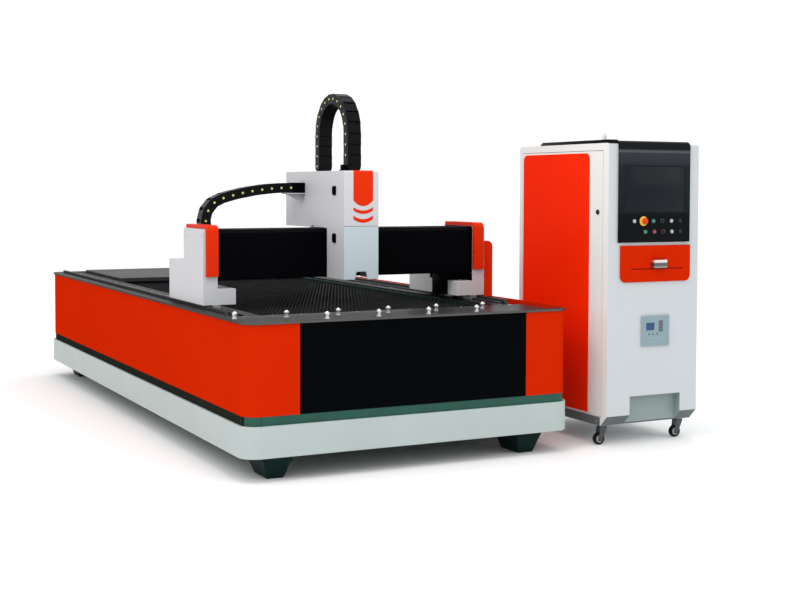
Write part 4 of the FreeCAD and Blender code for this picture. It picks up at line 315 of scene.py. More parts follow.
class Form:
    """A mesh put together from worked parts, in the bed's frame and in millimetres."""

    def __init__(self):
        self.points, self.faces, self.looks = [], [], []

    def add(self, points, faces, look=0):
        base = len(self.points)
        self.points += [tuple(point) for point in points]
        self.faces += [[base + index for index in face] for face in faces]
        self.looks += [look] * len(faces)

    def box(self, x, y, z, look=0, edge=0.0):
        """A block whose upright and level edges are cut back by the given width."""
        if not edge:
            points = [(a, b, c) for c in z for b in y for a in x]
            faces = [(0, 2, 3, 1), (4, 5, 7, 6), (0, 1, 5, 4), (2, 6, 7, 3), (0, 4, 6, 2), (1, 3, 7, 5)]
            self.add(points, faces, look)
            return
        made = bmesh.new()
        bmesh.ops.create_cube(made, size=1.0)
        middle = [(low + high) / 2 for low, high in (x, y, z)]
        reach = [high - low for low, high in (x, y, z)]
        for vert in made.verts:
            vert.co = Vector(middle[i] + vert.co[i] * reach[i] for i in range(3))
        bmesh.ops.bevel(made, geom=made.edges[:], offset=edge, segments=2, profile=0.5, affect="EDGES")
        made.verts.index_update()
        self.add([v.co for v in made.verts], [[v.index for v in f.verts] for f in made.faces], look)
        made.free()

    def slab(self, outline, place, depth, look=0):
        """An outline of (u, v) points pushed through a depth; place turns (u, v, w) into a point."""
        count = len(outline)
        points = [place(u, v, w) for w in depth for u, v in outline]
        faces = [list(range(count))[::-1], list(range(count, 2 * count))]
        faces += [[i, (i + 1) % count, count + (i + 1) % count, count + i] for i in range(count)]
        self.add(points, faces, look)

    def turn(self, outline, spot, axis="z", look=0, steps=32):
        """A turned form: (radius, distance) points swept round an axis; only the last may have radius 0."""
        sweep, spot = SWEEPS[axis], Vector(spot)
        points, faces, rows = [], [], []
        for radius, distance in outline:
            rows.append(len(points))
            ring = 1 if radius == 0 else steps
            for index in range(ring):
                angle = 2 * math.pi * index / steps
                local = Vector((radius * math.cos(angle), radius * math.sin(angle), distance))
                points.append(spot + sweep @ local)
        for (radius, distance), first, second in zip(outline[1:], rows, rows[1:]):
            for index in range(steps):
                after = (index + 1) % steps
                if radius == 0:
                    faces.append((first + index, first + after, second))
                else:
                    faces.append((first + index, first + after, second + after, second + index))
        self.add(points, faces, look)

    def bolt(self, spot, axis, radius, height, look=0):
        """A socket-head screw: a chamfered head with a hexagonal well."""
        well = radius * 0.5
        self.turn([(radius, 0), (radius, height * 0.75), (radius * 0.88, height), (well * 1.1, height)],
                  spot, axis, look, 18)
        self.turn([(well * 1.1, height), (well, height * 0.98), (well, height * 0.45), (0, height * 0.4)],
                  spot, axis, look, 6)

    def make(self, name, looks, body, stands_for=(), smooth=SMOOTH, edge=0.0):
        """The finished piece, shaded smooth up to an angle and riding on its body, if it has one."""
        mesh = bpy.data.meshes.new(name)
        mesh.from_pydata([at(*point) for point in self.points], [], self.faces)
        for look in looks:
            mesh.materials.append(LOOKS[look])
        mesh.polygons.foreach_set("material_index", self.looks)
        return dressed(mesh, name, body, stands_for, smooth, edge)


def dressed(mesh, name, body, stands_for, smooth, edge):
    """The mesh as a piece: shaded, its edges broken, on its body, with the parts it stands for hidden."""
    worked = bmesh.new()
    worked.from_mesh(mesh)
    bmesh.ops.recalc_face_normals(worked, faces=worked.faces)
    for face in worked.faces:
        face.smooth = True
    for line in worked.edges:
        sharp = len(line.link_faces) != 2 or line.calc_face_angle(0) > math.radians(smooth)
        line.smooth = not sharp
    worked.to_mesh(mesh)
    worked.free()
    piece = bpy.data.objects.new(name, mesh)
    bpy.context.scene.collection.objects.link(piece)
    if edge:
        bevel = piece.modifiers.new("edge", "BEVEL")
        bevel.width = edge / 1000
        bevel.segments = 2
        bevel.limit_method = "ANGLE"
        bevel.angle_limit = math.radians(smooth)
        bevel.harden_normals = True
    if body:
        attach(piece, body)
    if stands_for:
        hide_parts(*stands_for)
    return piece


def softened(node, look, edge, pick=None, looks=None):
    """A CAD node's own form with its edges broken; pick chooses a face's look by its centre."""
    source = NODES[node]
    mesh = source.data.copy()
    mesh.materials.clear()
    for word in looks or [look]:
        mesh.materials.append(LOOKS[word])
    worked = bmesh.new()
    worked.from_mesh(mesh)
    bmesh.ops.remove_doubles(worked, verts=worked.verts, dist=1e-5)
    bmesh.ops.dissolve_limit(worked, angle_limit=math.radians(1.0), verts=worked.verts, edges=worked.edges)
    for face in worked.faces:
        face.material_index = 0
        if pick:
            spot = face.calc_center_median() * 1000 + Vector((BED_X, BED_Y, 0))
            face.material_index = pick(spot, face.normal)
    worked.to_mesh(mesh)
    worked.free()
    for layer in list(mesh.attributes):
        if layer.name in ("custom_normal", "sharp_face"):
            mesh.attributes.remove(layer)
    dressed(mesh, node + "_dressed", source["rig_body"], [node], SMOOTH, edge)


def rounded(x, y, radius, steps=6):
    """A rectangle's outline with round corners."""
    outline = []
    for cx, cy, start in ((x[1], y[1], 0), (x[0], y[1], 90), (x[0], y[0], 180), (x[1], y[0], 270)):
        sx = -1 if cx == x[1] else 1
        sy = -1 if cy == y[1] else 1
        for index in range(steps + 1):
            angle = math.radians(start + 90 * index / steps)
            outline.append((cx + radius * (sx + math.cos(angle)), cy + radius * (sy + math.sin(angle))))
    return outline


# levels and lines shared with the part (millimetres)
DECK = 878.0  # top of the frame, where the rails stand
BEAM_TOP = 1355.0
BEAM_UNDERSIDE = 1067.0
MIDDLE = -56.5  # the cutting head's own line
COVER_FACE, COVER_SIDE, COVER_TOP = 611.0, -174.0, 1737.0  # the carriage's cover
CABINET = 1362.0  # the cabinet's left side
CABINET_TOP = 1917.0
FOOT_TOP = 118.0  # the frame's feet end here
BELT_TOP = 450.0  # the frame's visible belt lies below this
SQUARE = 0.9  # a face looks along an axis above this share of its normal

# ---------------------------------------------------------------- bed


def frame_look(spot, way):
    """Dark feet and bay, painted shade on the belt along the left side, green for the rest."""
    if spot.z < FOOT_TOP or (spot.z > BELT_TOP and abs(spot.x) < 800):
        return 1
    return 2 if way.x < -SQUARE and spot.z < BELT_TOP else 0


def deck_look(spot, way):
    """Darker strips beside the slats."""
    return 1 if abs(spot.x) > 780 and spot.y > 450 else 0


# the left-facing belt is coloured with painted shade
softened("bed_frame", None, 2.5, looks=["green", "foot", "belt"], pick=frame_look)
softened("base_skirt", "skirt", 2.0)
softened("side_panels", "red", 0.8)
softened("corner_panels", "red", 0.8)
softened("front_panel", "black", 0.8)
softened("table_trim", "trim", 2.5)
softened("deck_plates", None, 1.2, looks=["deck", "strip"], pick=deck_look)
softened("scrap_tray", "green", 1.0)
softened("chain_trough", "red", 1.0)


def rail(form, plane, across, along, z, step=60.0):
    """A profiled rail with its row of capped screw holes."""
    middle, half, low, high = (across[0] + across[1]) / 2, (across[1] - across[0]) / 2, z[0], z[1]
    rise = high - low
    side = [(half, 0), (half, 0.28), (half * 0.74, 0.44), (half * 0.74, 0.58), (half, 0.74), (half, 0.93),
            (half * 0.93, 1.0)]
    outline = [(middle + u, low + v * rise) for u, v in side]
    outline += [(middle - u, low + v * rise) for u, v in reversed(side)]
    if plane == "y":
        form.slab(outline, facing_front, along)
    else:
        form.slab(outline, facing_side, along)
    count = int((along[1] - along[0] - 30) / step)
    for index in range(count + 1):
        way = along[0] + 20 + step * index
        spot = (middle, way, high) if plane == "y" else (way, middle, high)
        form.turn([(6.2, 0), (6.2, 0.15), (5.4, 0.15), (5.2, 0.02), (0, 0.02)], spot, "z", 1, 14)


def rack(form, start, end, back, face, z, plane, pitch=9.425, depth=6.4):
    """A toothed rack: its teeth stand on the face that the pinion runs along."""
    inward = 1 if face > back else -1
    outline = [(start, back), (end, back)]
    count = int((end - start) / pitch)
    for index in reversed(range(count)):
        base = start + index * pitch
        outline += [(base + pitch * 0.95, face - inward * depth), (base + pitch * 0.72, face),
                    (base + pitch * 0.28, face), (base + pitch * 0.05, face - inward * depth)]
    if plane == "y":
        form.slab([(v, u) for u, v in outline], lying, z)
    else:
        form.slab(outline, lying, z)


RAIL_HALF, RAIL_RISE = 11.5, 18.0
rails = Form()
for side in (-1, 1):
    spans = sorted((side * (903 - RAIL_HALF), side * (903 + RAIL_HALF)))
    rail(rails, "y", spans, (550, 4750), (DECK, DECK + RAIL_RISE))
    rack(rails, 550, 4750, side * 965, side * 945, (DECK, DECK + 32), "y")
rails.make("bed_guides", ["guide", "dark"], "machine", ["bed_rails"])


def blades():
    """The table's toothed blades, their points nicked and worn unevenly by the beam."""
    form = Form()
    root, floor, top, half = DECK - 32, DECK - 60, DECK - 2, 757.0
    ledge, teeth = 733.0, 58
    pitch = 2 * ledge / teeth
    count, first, spacing = 28, 483.0, 112.0
    for blade in range(count):
        y = first + spacing * blade
        outline = [(half, floor), (-half, floor), (-half, root + 2), (-ledge, root + 2)]
        for index in range(teeth):
            base = -ledge + pitch * index
            wear = 3.2 * (0.5 + 0.5 * math.sin(index * 2.7 + blade * 5.1) * math.cos(index * 0.83 + blade))
            tip = top - wear
            outline += [(base + pitch * share, level) for share, level in
                        ((0.08, root + 6), (0.42, tip), (0.58, tip), (0.92, root + 6))]
        outline += [(ledge, root + 2), (half, root + 2)]
        form.slab(outline, facing_front, (y - 2, y + 2))
    form.make("table_blades", ["slat"], "machine", ["slats"])


blades()

# deck screws, along the plates' edges
PLATE = DECK + 10  # the deck plates' top
screws = Form()
for index in range(11):
    for y in (100, 410):
        screws.turn([(7, 0.1), (6.4, 0.6), (3.2, 0.6), (2.8, 0.15), (0, 0.1)],
                    (-900 + 180 * index, y, PLATE), "z", 0, 16)
for side in (-1, 1):
    for index in range(22):
        screws.turn([(6, 0.1), (5.4, 0.6), (2.8, 0.6), (2.4, 0.15), (0, 0.1)],
                    (side * 858, 470 + 195 * index, PLATE), "z", 0, 14)
screws.make("deck_screws", ["zinc"], "machine")


def ball_units():
    """The ball transfers: a turned post with a groove, a crimped rim and the ball in it."""
    form = Form()
    places = [(325 * i - 700, 250, 10) for i in range(5)] + [(325 * i - 537.5, 42, 14) for i in range(4)]
    places.append((-1012.5, 250, 14))
    ball = [(12 * math.cos(math.radians(a)), 32 + 12 * math.sin(math.radians(a))) for a in range(20, 90, 14)]
    for x, y, seat in places:
        spot = (x, y, DECK + seat)
        form.turn([(16, 0), (16, 4), (14.5, 5), (11.5, 8), (11.5, 20), (14.5, 22), (15.6, 24), (15.6, 34),
                   (14.4, 36.4), (12.6, 37.2), (12.0, 36.6)], spot, "z", 0, 28)
        form.turn(ball + [(0, 44)], spot, "z", 1, 28)
        form.bolt((x, y, DECK + seat + 3.5), "z", 3, 0.5)
    form.make("ball_posts", ["zinc", "chrome"], "machine", ["ball_transfers"])


ball_units()

# ---------------------------------------------------------------- energy chains

def trail(start, heading, legs, count):
    """Evenly spaced points on a line of straights and arcs; each leg is (length, turn)."""
    total = sum(length for length, turn in legs)
    points = []
    for index in range(count + 1):
        left = total * index / count
        u, v, angle = start[0], start[1], heading
        for length, turn in legs:
            part = min(left, length)
            bend = turn * part / length
            if abs(bend) > 1e-9:
                radius = part / bend
                u += radius * (math.sin(angle + bend) - math.sin(angle))
                v -= radius * (math.cos(angle + bend) - math.cos(angle))
            else:
                u += part * math.cos(angle)
                v += part * math.sin(angle)
            angle += bend
            left -= part
        points.append((u, v))
    return points


def plate(length, half, steps=7):
    """A link's side plate: rounded ends and a slightly waisted middle."""
    reach, waist = half - 1, half * 0.97
    outline = []
    for start, shift, way in ((-90, length, 1), (90, 0, -1)):
        for index in range(steps + 1):
            angle = math.radians(start + 180 * index / steps)
            outline.append((shift + reach * math.cos(angle), half * math.sin(angle)))
        shares = (0.64, 0.6, 0.4, 0.36)[::way]
        outline += [(length * share, way * level) for share, level in zip(shares, (half, waist, waist, half))]
    return outline


def circle(radius, steps=14):
    return [(radius * math.cos(2 * math.pi * i / steps), radius * math.sin(2 * math.pi * i / steps))
            for i in range(steps)]


def chain(name, points, height, width, place, pair, slant, node, dots=()):
    """Links from point to point: outer and inner plates, lids, a core, pivots and their dots."""
    form = Form()
    wall, dot = 6.2, 7.4
    for index, (near, far) in enumerate(zip(points, points[1:])):
        length = math.dist(near, far)
        angle = math.atan2(far[1] - near[1], far[0] - near[0])
        inner = index % 2 == 1
        inset = wall + 0.6 if inner else 0.0

        def spot(u, v, w):
            return place(near[0] + u * math.cos(angle) - v * math.sin(angle),
                         near[1] + u * math.sin(angle) + v * math.cos(angle), w)

        half = height / 2 - (0.6 if inner else 0)
        for low in (inset, width - inset - wall):
            form.slab(plate(length, half), spot, (low, low + wall))
        if inner:
            ends = (length * 0.03, length * 0.97)
            web = [(ends[0], -half), (ends[1], -half), (ends[1], half), (ends[0], half)]
            for low in (0.9, width - 0.9 - wall):
                form.slab(web, spot, (low, low + wall))
        for level in (-half, half - 4):
            outward = 2.6 if level > 0 else 0.6
            inward = 0.6 if level > 0 else 2.6
            start, stop = length * 0.035, length * 0.965
            span = [(start + inward, level), (stop - inward, level), (stop - outward, level + 4),
                    (start + outward, level + 4)]
            form.slab(span, spot, (inset + wall - 0.5, width - inset - wall + 0.5))
        core = half - 9
        form.slab([(-4, -core), (length + 4, -core), (length + 4, core), (-4, core)], spot,
                  (2 * wall + 3, width - 2 * wall - 3))
        if inner:
            continue
        for u in (0, length):
            for w, out in ((0.0, -0.9), (width, 0.9)):
                form.slab([(u + p, q) for p, q in circle(height * 0.2)], spot, sorted((w, w + out * 0.6)))
            for w, out in dots:
                form.slab([(u + p, q) for p, q in circle(dot)], spot, sorted((w, w + out * 1.2)), 1)
    for tip, after in ((points[0], points[1]), (points[-1], points[-2])):
        angle = math.atan2(after[1] - tip[1], after[0] - tip[0])

        def end(u, v, w):
            return place(tip[0] + u * math.cos(angle) - v * math.sin(angle),
                         tip[1] + u * math.sin(angle) + v * math.cos(angle), w)

        deep, half = height / 2 - 1, height / 2 - 2
        form.slab([(-deep, -half), (height * 0.2, -half), (height * 0.2, half), (-deep, half)], end,
                  (wall + 0.8, width - wall - 0.8))
    made = form.make(name, ["chain", "yellow"], None, [node], 40)
    start, end = slant
    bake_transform(made, *pair, start=start, end=end)


def slanted(zero, one, low, place):
    """The blend's line: the weight is 0 at one end and at a low point, and 1 at the other end."""
    a, b = one[0] - zero[0], one[1] - zero[1]
    c, d = low[0] - zero[0], low[1] - zero[1]
    scale = a * d - b * c
    p, q = d / scale, -c / scale
    reach = p * p + q * q
    return at(*place(*zero, 0)), at(*place(zero[0] + p / reach, zero[1] + q / reach, 0))


def beam_place(u, v, w):
    return (u, 1228 + w, v)


# the cross chain runs left along the beam, turns back with a tight bend and climbs a wide one
LINK = 67
RISE = math.radians(16.7)
TIGHT, WIDE = 153, 1650
TOP_X = -700 + (WIDE - TIGHT) * math.sin(RISE)
END_X = -205.3  # where it meets the carriage
beam_legs = [(760, 0), (TIGHT * (math.pi - RISE), RISE - math.pi), (WIDE * RISE, -RISE), (END_X - TOP_X, 0)]
beam_points = trail((60, 1261.5), math.pi, beam_legs, round(sum(leg for leg, turn in beam_legs) / LINK))
chain("cross_chain", beam_points, 64, 93, beam_place, ("gantry", "carriage"),
      slanted((-853, 1414), beam_points[-1], (60, 1262), beam_place), "beam_chain",
      [(0.0, -1), (93.0, 1)])


def lift_place(u, v, w):
    return (-10 - w, u, v)


# the lift chain stands up, turns over in a half circle and comes down again
lift_legs = [(205, 0), (math.pi * 223, -math.pi), (205, 0)]
lift_points = trail((747, 1771), math.pi / 2, lift_legs, round(sum(leg for leg, turn in lift_legs) / LINK))
chain("lift_chain", lift_points, 64, 93, lift_place, ("carriage", "head"),
      (at(MIDDLE, 1150, 1982), at(MIDDLE, 790, 1982)), "z_chain", [(93.0, 1), (0.0, -1)])


def side_place(u, v, w):
    return (1025 - w, u, v)


# the trough chain is laid back over itself
side_legs = [(280, 0), (math.pi * 60, math.pi), (1680, 0)]
side_points = trail((2500, 733.3), 0, side_legs, round(sum(leg for leg, turn in side_legs) / 50))
chain("trough_chain", side_points, 40, 36, side_place, ("machine", "gantry"),
      slanted((2840, 793), (1120, 853), (2480, 733), side_place), "side_chain")

# ---------------------------------------------------------------- gantry

softened("y_saddles", "milled", 1.0)


def cover_look(spot, way):
    """Black where the cover faces the beam's end, painted light on the low blocks as a lighter copy of the
    white.
    """
    if abs(spot.x) < 900 and abs(way.x) > SQUARE and spot.z > BEAM_UNDERSIDE + 3:
        return 1
    return 2 if spot.z < BEAM_UNDERSIDE + 1 else 0


softened("end_covers", None, 3.0, looks=["white", "satin", "lit_white"], pick=cover_look)
softened("end_caps", "cap", 1.5)
softened("gantry_beam", "satin", 1.5)
softened("outboard_cover", "cap", 1.5)
softened("y_motors", "motor", 2.0)
for word in ("left", "right"):
    softened(f"y_pinion_{word}", "steel", 0.4)

guides = Form()
for y in (940, 1170):
    rail(guides, "x", (y - RAIL_HALF, y + RAIL_HALF), (-886, 886), (BEAM_TOP, BEAM_TOP + RAIL_RISE))
rack(guides, -886, 886, 1095, 1115, (BEAM_TOP, BEAM_TOP + RAIL_RISE), "x")
guides.make("beam_guides", ["blued", "dark"], "gantry", ["x_rails"])

# cover screws on the end covers' outer faces and on their rear blocks
fixings = Form()
for side, axis in ((-1, "-x"), (1, "x")):
    for y, z in ((915, 952), (915, 1332), (1240, 1332), (1545, 952), (1545, 1142)):
        if side > 0 and y < 1200:
            continue
        fixings.bolt((side * 986, y, z), axis, 5.5, 2.6)
fixings.make("cover_screws", ["zinc"], "gantry")

# ---------------------------------------------------------------- carriage and head

softened("carriage_cover", "white", 2.5)
softened("head_front_cover", "pale", 1.5)
softened("carriage_plate", "milled", 1.0)
softened("carriage_motors", "motor", 2.0)
softened("x_pinion", "steel", 0.4)
softened("head_slide", "milled", 1.0)


def cover_badge():
    """The red band folded over the carriage's top, its curved foot, two arcs below it, the latches."""
    form = Form()
    middle, half, face, top, sheet = -44.5, 66.5, COVER_FACE, COVER_TOP, 2.0
    bend = 12.0
    foot, sag = 1519.0, 34.0
    steps = 16

    def arch(level, depth, u):
        return level - depth * (1 - (u / half) ** 2)

    spans = [half * (2 * i / steps - 1) for i in range(steps + 1)]
    lower = [(middle + u, arch(foot + sag, sag, u)) for u in spans]
    crown = top - bend
    form.slab(lower + [(middle + half, crown), (middle - half, crown)], facing_front,
              (face - sheet, face - 0.05))
    fold = []
    for radius in (bend, bend + sheet):
        arc = [(face + bend - radius * math.cos(math.radians(a)), crown + radius * math.sin(math.radians(a)))
               for a in range(0, 91, 15)]
        fold.append(arc)
    back = face + half
    profile = fold[0] + [(back, top), (back, top + sheet)] + fold[1][::-1]
    form.slab(profile, facing_side, (middle - half, middle + half))
    for level, depth, thick in ((1471.0, 21.0, 20.0), (1416.0, 22.0, 22.0)):
        line = [(middle + u, arch(level + depth, depth, u)) for u in spans]
        line += [(u, v + thick) for u, v in reversed(line)]
        form.slab(line, facing_front, (face - sheet, face - 0.05))
    latch = 755
    for level in (1318.0, 1614.0):
        outline = rounded((latch - 25, latch + 25), (level - 29, level + 29), 11)
        form.slab(outline, facing_side, (COVER_SIDE - 6, COVER_SIDE - 0.05), 1)
        grip = rounded((latch - 12, latch + 12), (level - 19, level + 19), 6)
        form.slab(grip, facing_side, (COVER_SIDE - 13, COVER_SIDE - 6), 1)
    form.make("cover_badge", ["cap", "satin"], "carriage", ["cover_trim"], edge=0.5)


cover_badge()

# the cross chain's end on the carriage: its black end piece on a white folded shelf
ending = Form()
ending.box((-262, -174.4), (1225.5, 1323.5), (1597, 1664.5), 0, 2.0)
for level in (1612, 1648):
    ending.bolt((-200, 1225.5, level), "-y", 4, 1.6, 0)
ending.box((-300, -174.3), (1222, 1327), (1590.5, 1596.5), 1, 1.2)
ending.slab([(-290, 1590.5), (-174.4, 1590.5), (-174.4, 1530)], facing_front, (1270, 1275), 1)
ending.make("chain_end_bracket", ["satin", "white"], "carriage")

# the lift chain's guide block and the cover's small rivets
guide = Form()
guide.box((-131, -107), (722, 766), (1737.4, 1776), 0, 2.5)
guide.box((-137, -104.5), (716, 772), (1737.4, 1743), 0, 1.2)
guide.make("lift_chain_guide", ["satin"], "carriage")
rivets = Form()
for y, z in ((815, 1505), (1330, 1505), (1500, 1700), (1500, 1412)):
    rivets.turn([(4.2, 0), (4.2, 0.6), (3, 1.4), (0, 1.6)], (-174.1, y, z), "-x", 0, 16)
rivets.make("cover_rivets", ["zinc"], "carriage")

# the drive box under the beam's right end
box = Form()
box.box((730, 856), (1010, 1150), (915, 1066.5), 0, 4.0)
box.box((722, 864), (1002, 1158), (1058, 1066.7), 0, 1.5)
for x, z in ((744, 930), (842, 930), (744, 1042), (842, 1042)):
    box.bolt((x, 1010, z), "-y", 5, 2.4, 1)
box.make("drive_box", ["satin", "knob"], "gantry")

screw = Form()
low = 1549 - 0.3 - 345
screw.turn([(5.6, 0), (5.6, 8), (8, 9), (8, 321), (5.6, 329), (5.6, 345)], (MIDDLE, 848.7, low), "z", 0, 28)
for index in range(30):
    screw.turn([(8, 0), (7.2, 1.4), (7.2, 3.6), (8, 5)], (MIDDLE, 848.7, low + 10 + 10.4 * index), "z", 0, 24)
screw.make("ball_screw", ["steel"], "lift_screw", ["z_screw"])


def laser_head():
    """The head: nozzle, ceramic, height-sensor ring, focus barrel, chamfered case and fibre plug."""
    form = Form()
    tip, y = 1079.0, 716.0
    form.turn([(1.2, 8), (1.2, 0), (4.5, 0), (9, 9), (15, 10), (15, 16)], (MIDDLE, y, tip), "z", 1, 40)
    form.turn([(15, 16), (17, 16.5), (17, 24), (14.5, 25)], (MIDDLE, y, tip), "z", 2, 40)
    form.turn([(14.5, 25), (20, 26), (22, 34), (26, 40), (26, 46), (32, 52), (33.6, 55), (33.6, 74), (32, 76),
               (32, 80), (33.6, 82), (33.6, 124), (31, 130), (0, 130)], (MIDDLE, y, tip), "z", 0, 40)
    low, high = tip + 130, tip + 330
    outline = [(-42, -31), (-31, -42), (31, -42), (42, -31), (42, 31), (31, 42), (-31, 42), (-42, 31)]
    form.slab([(MIDDLE + u, y + v) for u, v in outline], lying, (low, high))
    for level in (low + 24, low + 100, high - 24):
        for u in (-34, 34):
            form.bolt((MIDDLE + u, y - 42, level), "-y", 3.5, 1.5, 3)
    form.turn([(16.8, 0), (16.8, 30), (13, 34), (13, 42), (0, 42)], (MIDDLE, y, high), "z", 3, 32)
    form.box((MIDDLE - 33, MIDDLE + 33), (y + 42, 841), (tip + 144, tip + 288), 3, 1.0)
    form.make("laser_head", ["head", "brass", "lamp", "milled"], "head", ["cutting_head"])


laser_head()

# ---------------------------------------------------------------- cabinet


def shell_look(spot, way):
    """Painted shade on the chamfer along the front's foot, painted light on the left side as a lighter,
    warmer copy of the white, the front's own white.
    """
    if 127 < spot.z < 185 and spot.y < 66:
        return 1
    return 2 if way.x < -SQUARE else 0


softened("cabinet_shell", None, 2.5, looks=["cabinet", "plinth", "side"], pick=shell_look)
softened("toe_plate", "toe", 0.8)
# the door takes the left side's painted light
softened("cabinet_door", "side", 1.0)
# the door panel's brighter red is painted light
softened("door_panel", "door", 1.2)
# the hood's painted sheen and highlight line come from its bands
softened("console_hood", "console", 1.5)
softened("laser_source", "panel", 2.0)
softened("keyboard_drawer", "red", 1.5)
# the handle's light line and pinkish top are painted highlight and reflection
softened("drawer_handle", "grip", 1.2)

# a black strip on the top's left edge, a dark strip in painted shade along the left side's foot, the drawer's
# seam
roof = Form()
roof_top = CABINET_TOP + 21.5
roof.box((CABINET + 2, CABINET + 70.6), (4, 766), (CABINET_TOP + 0.1, roof_top), 0, 1.5)
for y in (40, 400, 740):
    roof.turn([(5, 0), (4.6, 1), (2.4, 1.2), (0, 1.2)], (CABINET + 58, y, roof_top), "z", 0, 16)
roof.make("roof_strip", ["console"], "machine")
# painted shade: the strip is coloured with the chamfer's shaded grey
kick = Form()
kick.box((CABINET - 1.4, CABINET - 0.05), (72, 1034), (128, 181), 0, 0.4)
for y in (110, 553, 996):
    kick.turn([(4.5, 0), (4.2, 0.9), (2, 1.1), (0, 1.1)], (CABINET - 1.4, y, 155), "-x", 1, 16)
kick.make("side_kick_strip", ["plinth", "zinc"], "machine")
seam = Form()
seam.box((1532, 1942), (-12.7, -10.4), (1118.5, 1126), 0, 0.3)
seam.make("drawer_seam", ["seam"], NODES["keyboard_drawer"]["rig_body"])

glass = Form()
glass.box((CABINET + 120, CABINET + 580), (-14.75, -11), (1483.5, 1771.5), 0, 0.6)
glass.make("screen_pane", ["glass"], "machine", ["screen"])

lock = Form()
face = CABINET - 0.3
lock.turn([(16, 0), (16, 5), (15, 5.8), (13, 8.2), (7, 8.4)], (face, 112, 1483), "-x", 0, 36)
lock.turn([(7, 8.4), (6.6, 7.2), (0, 7.2)], (face, 112, 1483), "-x", 1, 28)
lock.box((face - 14, face - 7), (112 - 3.2, 112 + 3.2), (1483 - 11, 1483 + 11), 0, 0.8)
lock.make("door_lock_knob", ["knob", "chrome"], "lock", ["door_lock"])


def console_controls():
    """The console's fixed rings, lamps and blanks, and each control on its own body."""
    front = -16.0
    upper, lower = 1426, 1358
    high = [CABINET + 185 + 73 * index for index in range(6)]
    low = [CABINET + 268 + 71 * index for index in range(5)]
    fixed = Form()

    def ring(x, z):
        fixed.turn([(11.3, 0), (11.3, 6.6), (12.2, 7.8), (13.6, 7.8), (15, 6), (15, 0)], (x, front, z), "-y",
                   0, 40)

    def lamp(x, z):
        fixed.turn([(15, 0), (15, 3.2), (13.2, 4.2), (11.4, 4.4)], (x, front, z), "-y", 0, 40)
        fixed.turn([(11.4, 4), (11, 8), (9.2, 10.4), (6, 11.7), (0, 12)], (x, front, z), "-y", 1, 40)

    def blank(x, z):
        fixed.turn([(13, 0), (13, 1.6), (12, 2.6), (3, 3), (0, 3)], (x, front, z), "-y", 2, 40)

    for x, z in ((high[0], upper), (high[4], upper), (low[3], lower)):
        lamp(x, z)
    for x, z in ((high[5], upper), (low[4], lower)):
        blank(x, z)
    for x, z in ((high[2], upper), (high[3], upper), (low[0], lower), (low[1], lower), (low[2], lower)):
        ring(x, z)
    fixed.turn([(10.3, 0), (10.3, 6.6), (13.4, 7.0), (14, 5.4), (27.6, 5), (30, 3.6), (30, 0)],
               (high[1], front, upper), "-y", 3, 48)
    fixed.make("control_rings", ["fork", "lens", "knob", "ring"], "machine",
               ["button_bezels"])

    stop = Form()
    stop.turn([(9.8, 5.4), (9.8, 14), (12, 14.6), (17.5, 15.4), (20, 17.4), (20, 22.6), (18.6, 26),
               (15.4, 28.4), (9, 29.6), (0, 30)], (high[1], front, upper), "-y", 0, 48)
    stop.make("stop_mushroom_cap", ["stop"], "emergency_stop", ["e_stop"])
    for name, x, z, look, body, slot, node in (
            ("start_cap", high[2], upper, "go", "start_button", "button_green", "button_green_1"),
            ("run_cap", low[0], lower, "go", "run_button", "button_green", "button_green_2"),
            ("stop_cap", low[1], lower, "halt", "stop_button", "button_red", "button_red")):
        cap = Form()
        cap.turn([(10.9, 3.3), (10.9, 13.6), (10.2, 14.8), (8.8, 15.3), (7, 15.0), (0, 14.6)],
                 (x, front, z), "-y", 0, 40)
        cap.make(name, [look], body, [node])
    for name, x, z, body, node in (("upper_knob", high[3], upper, "upper_selector", "selector_1"),
                                   ("lower_knob", low[2], lower, "lower_selector", "selector_2")):
        knob = Form()
        knob.turn([(10.9, 0.3), (10.9, 8), (10.2, 9), (0, 9)], (x, front, z), "-y", 0, 40)
        knob.box((x - 3.6, x + 3.6), (front - 17, front - 8), (z - 9.9, z + 9.9), 0, 1.4)
        knob.box((x - 0.6, x + 0.6), (front - 17.0, front - 16.4), (z + 2, z + 8.6), 1)
        knob.make(name, ["knob", "lamp"], body, [node])


console_controls()


def controller():
    """The operator panel: case, raised bezel, blue display and its fields of keys."""
    form = Form()
    left, low = CABINET + 259, 626.0
    wide, tall = 218.0, 196.0
    form.slab(rounded((left, left + wide), (low, low + tall), 5), facing_front, (-10.4, 0))
    form.slab(rounded((left + 7, left + wide - 7), (low + 7, low + tall - 7), 4), facing_front,
              (-12, -10.2), 1)
    form.box((left + 29, left + 101), (-12.6, -11.5), (low + 98, low + 158), 1, 0.4)
    form.box((left + 33, left + 97), (-12.9, -11.8), (low + 103, low + 152), 2)
    for row in range(4):
        for column in range(2):
            x, z = left + 132 + 18 * column, low + 92 + 18.5 * row
            form.box((x, x + 15.5), (-13.4, -11.8), (z, z + 15.5), 3, 1.0)
    for column in range(6):
        form.turn([(6, 0), (6, 1.4), (4.8, 2.1), (0, 2.1)], (left + 40 + 16 * column, -11.2, low + 78), "-y",
                  3 if column % 2 else 0, 24)
    for column in range(8):
        x = left + 26 + 21 * column
        form.box((x, x + 15), (-13.4, -11.8), (low + 48, low + 60), 0, 1.0)
    form.make("operator_panel", ["panel", "bezel", "display", "key"], "machine",
              ["controller_panel"])


controller()


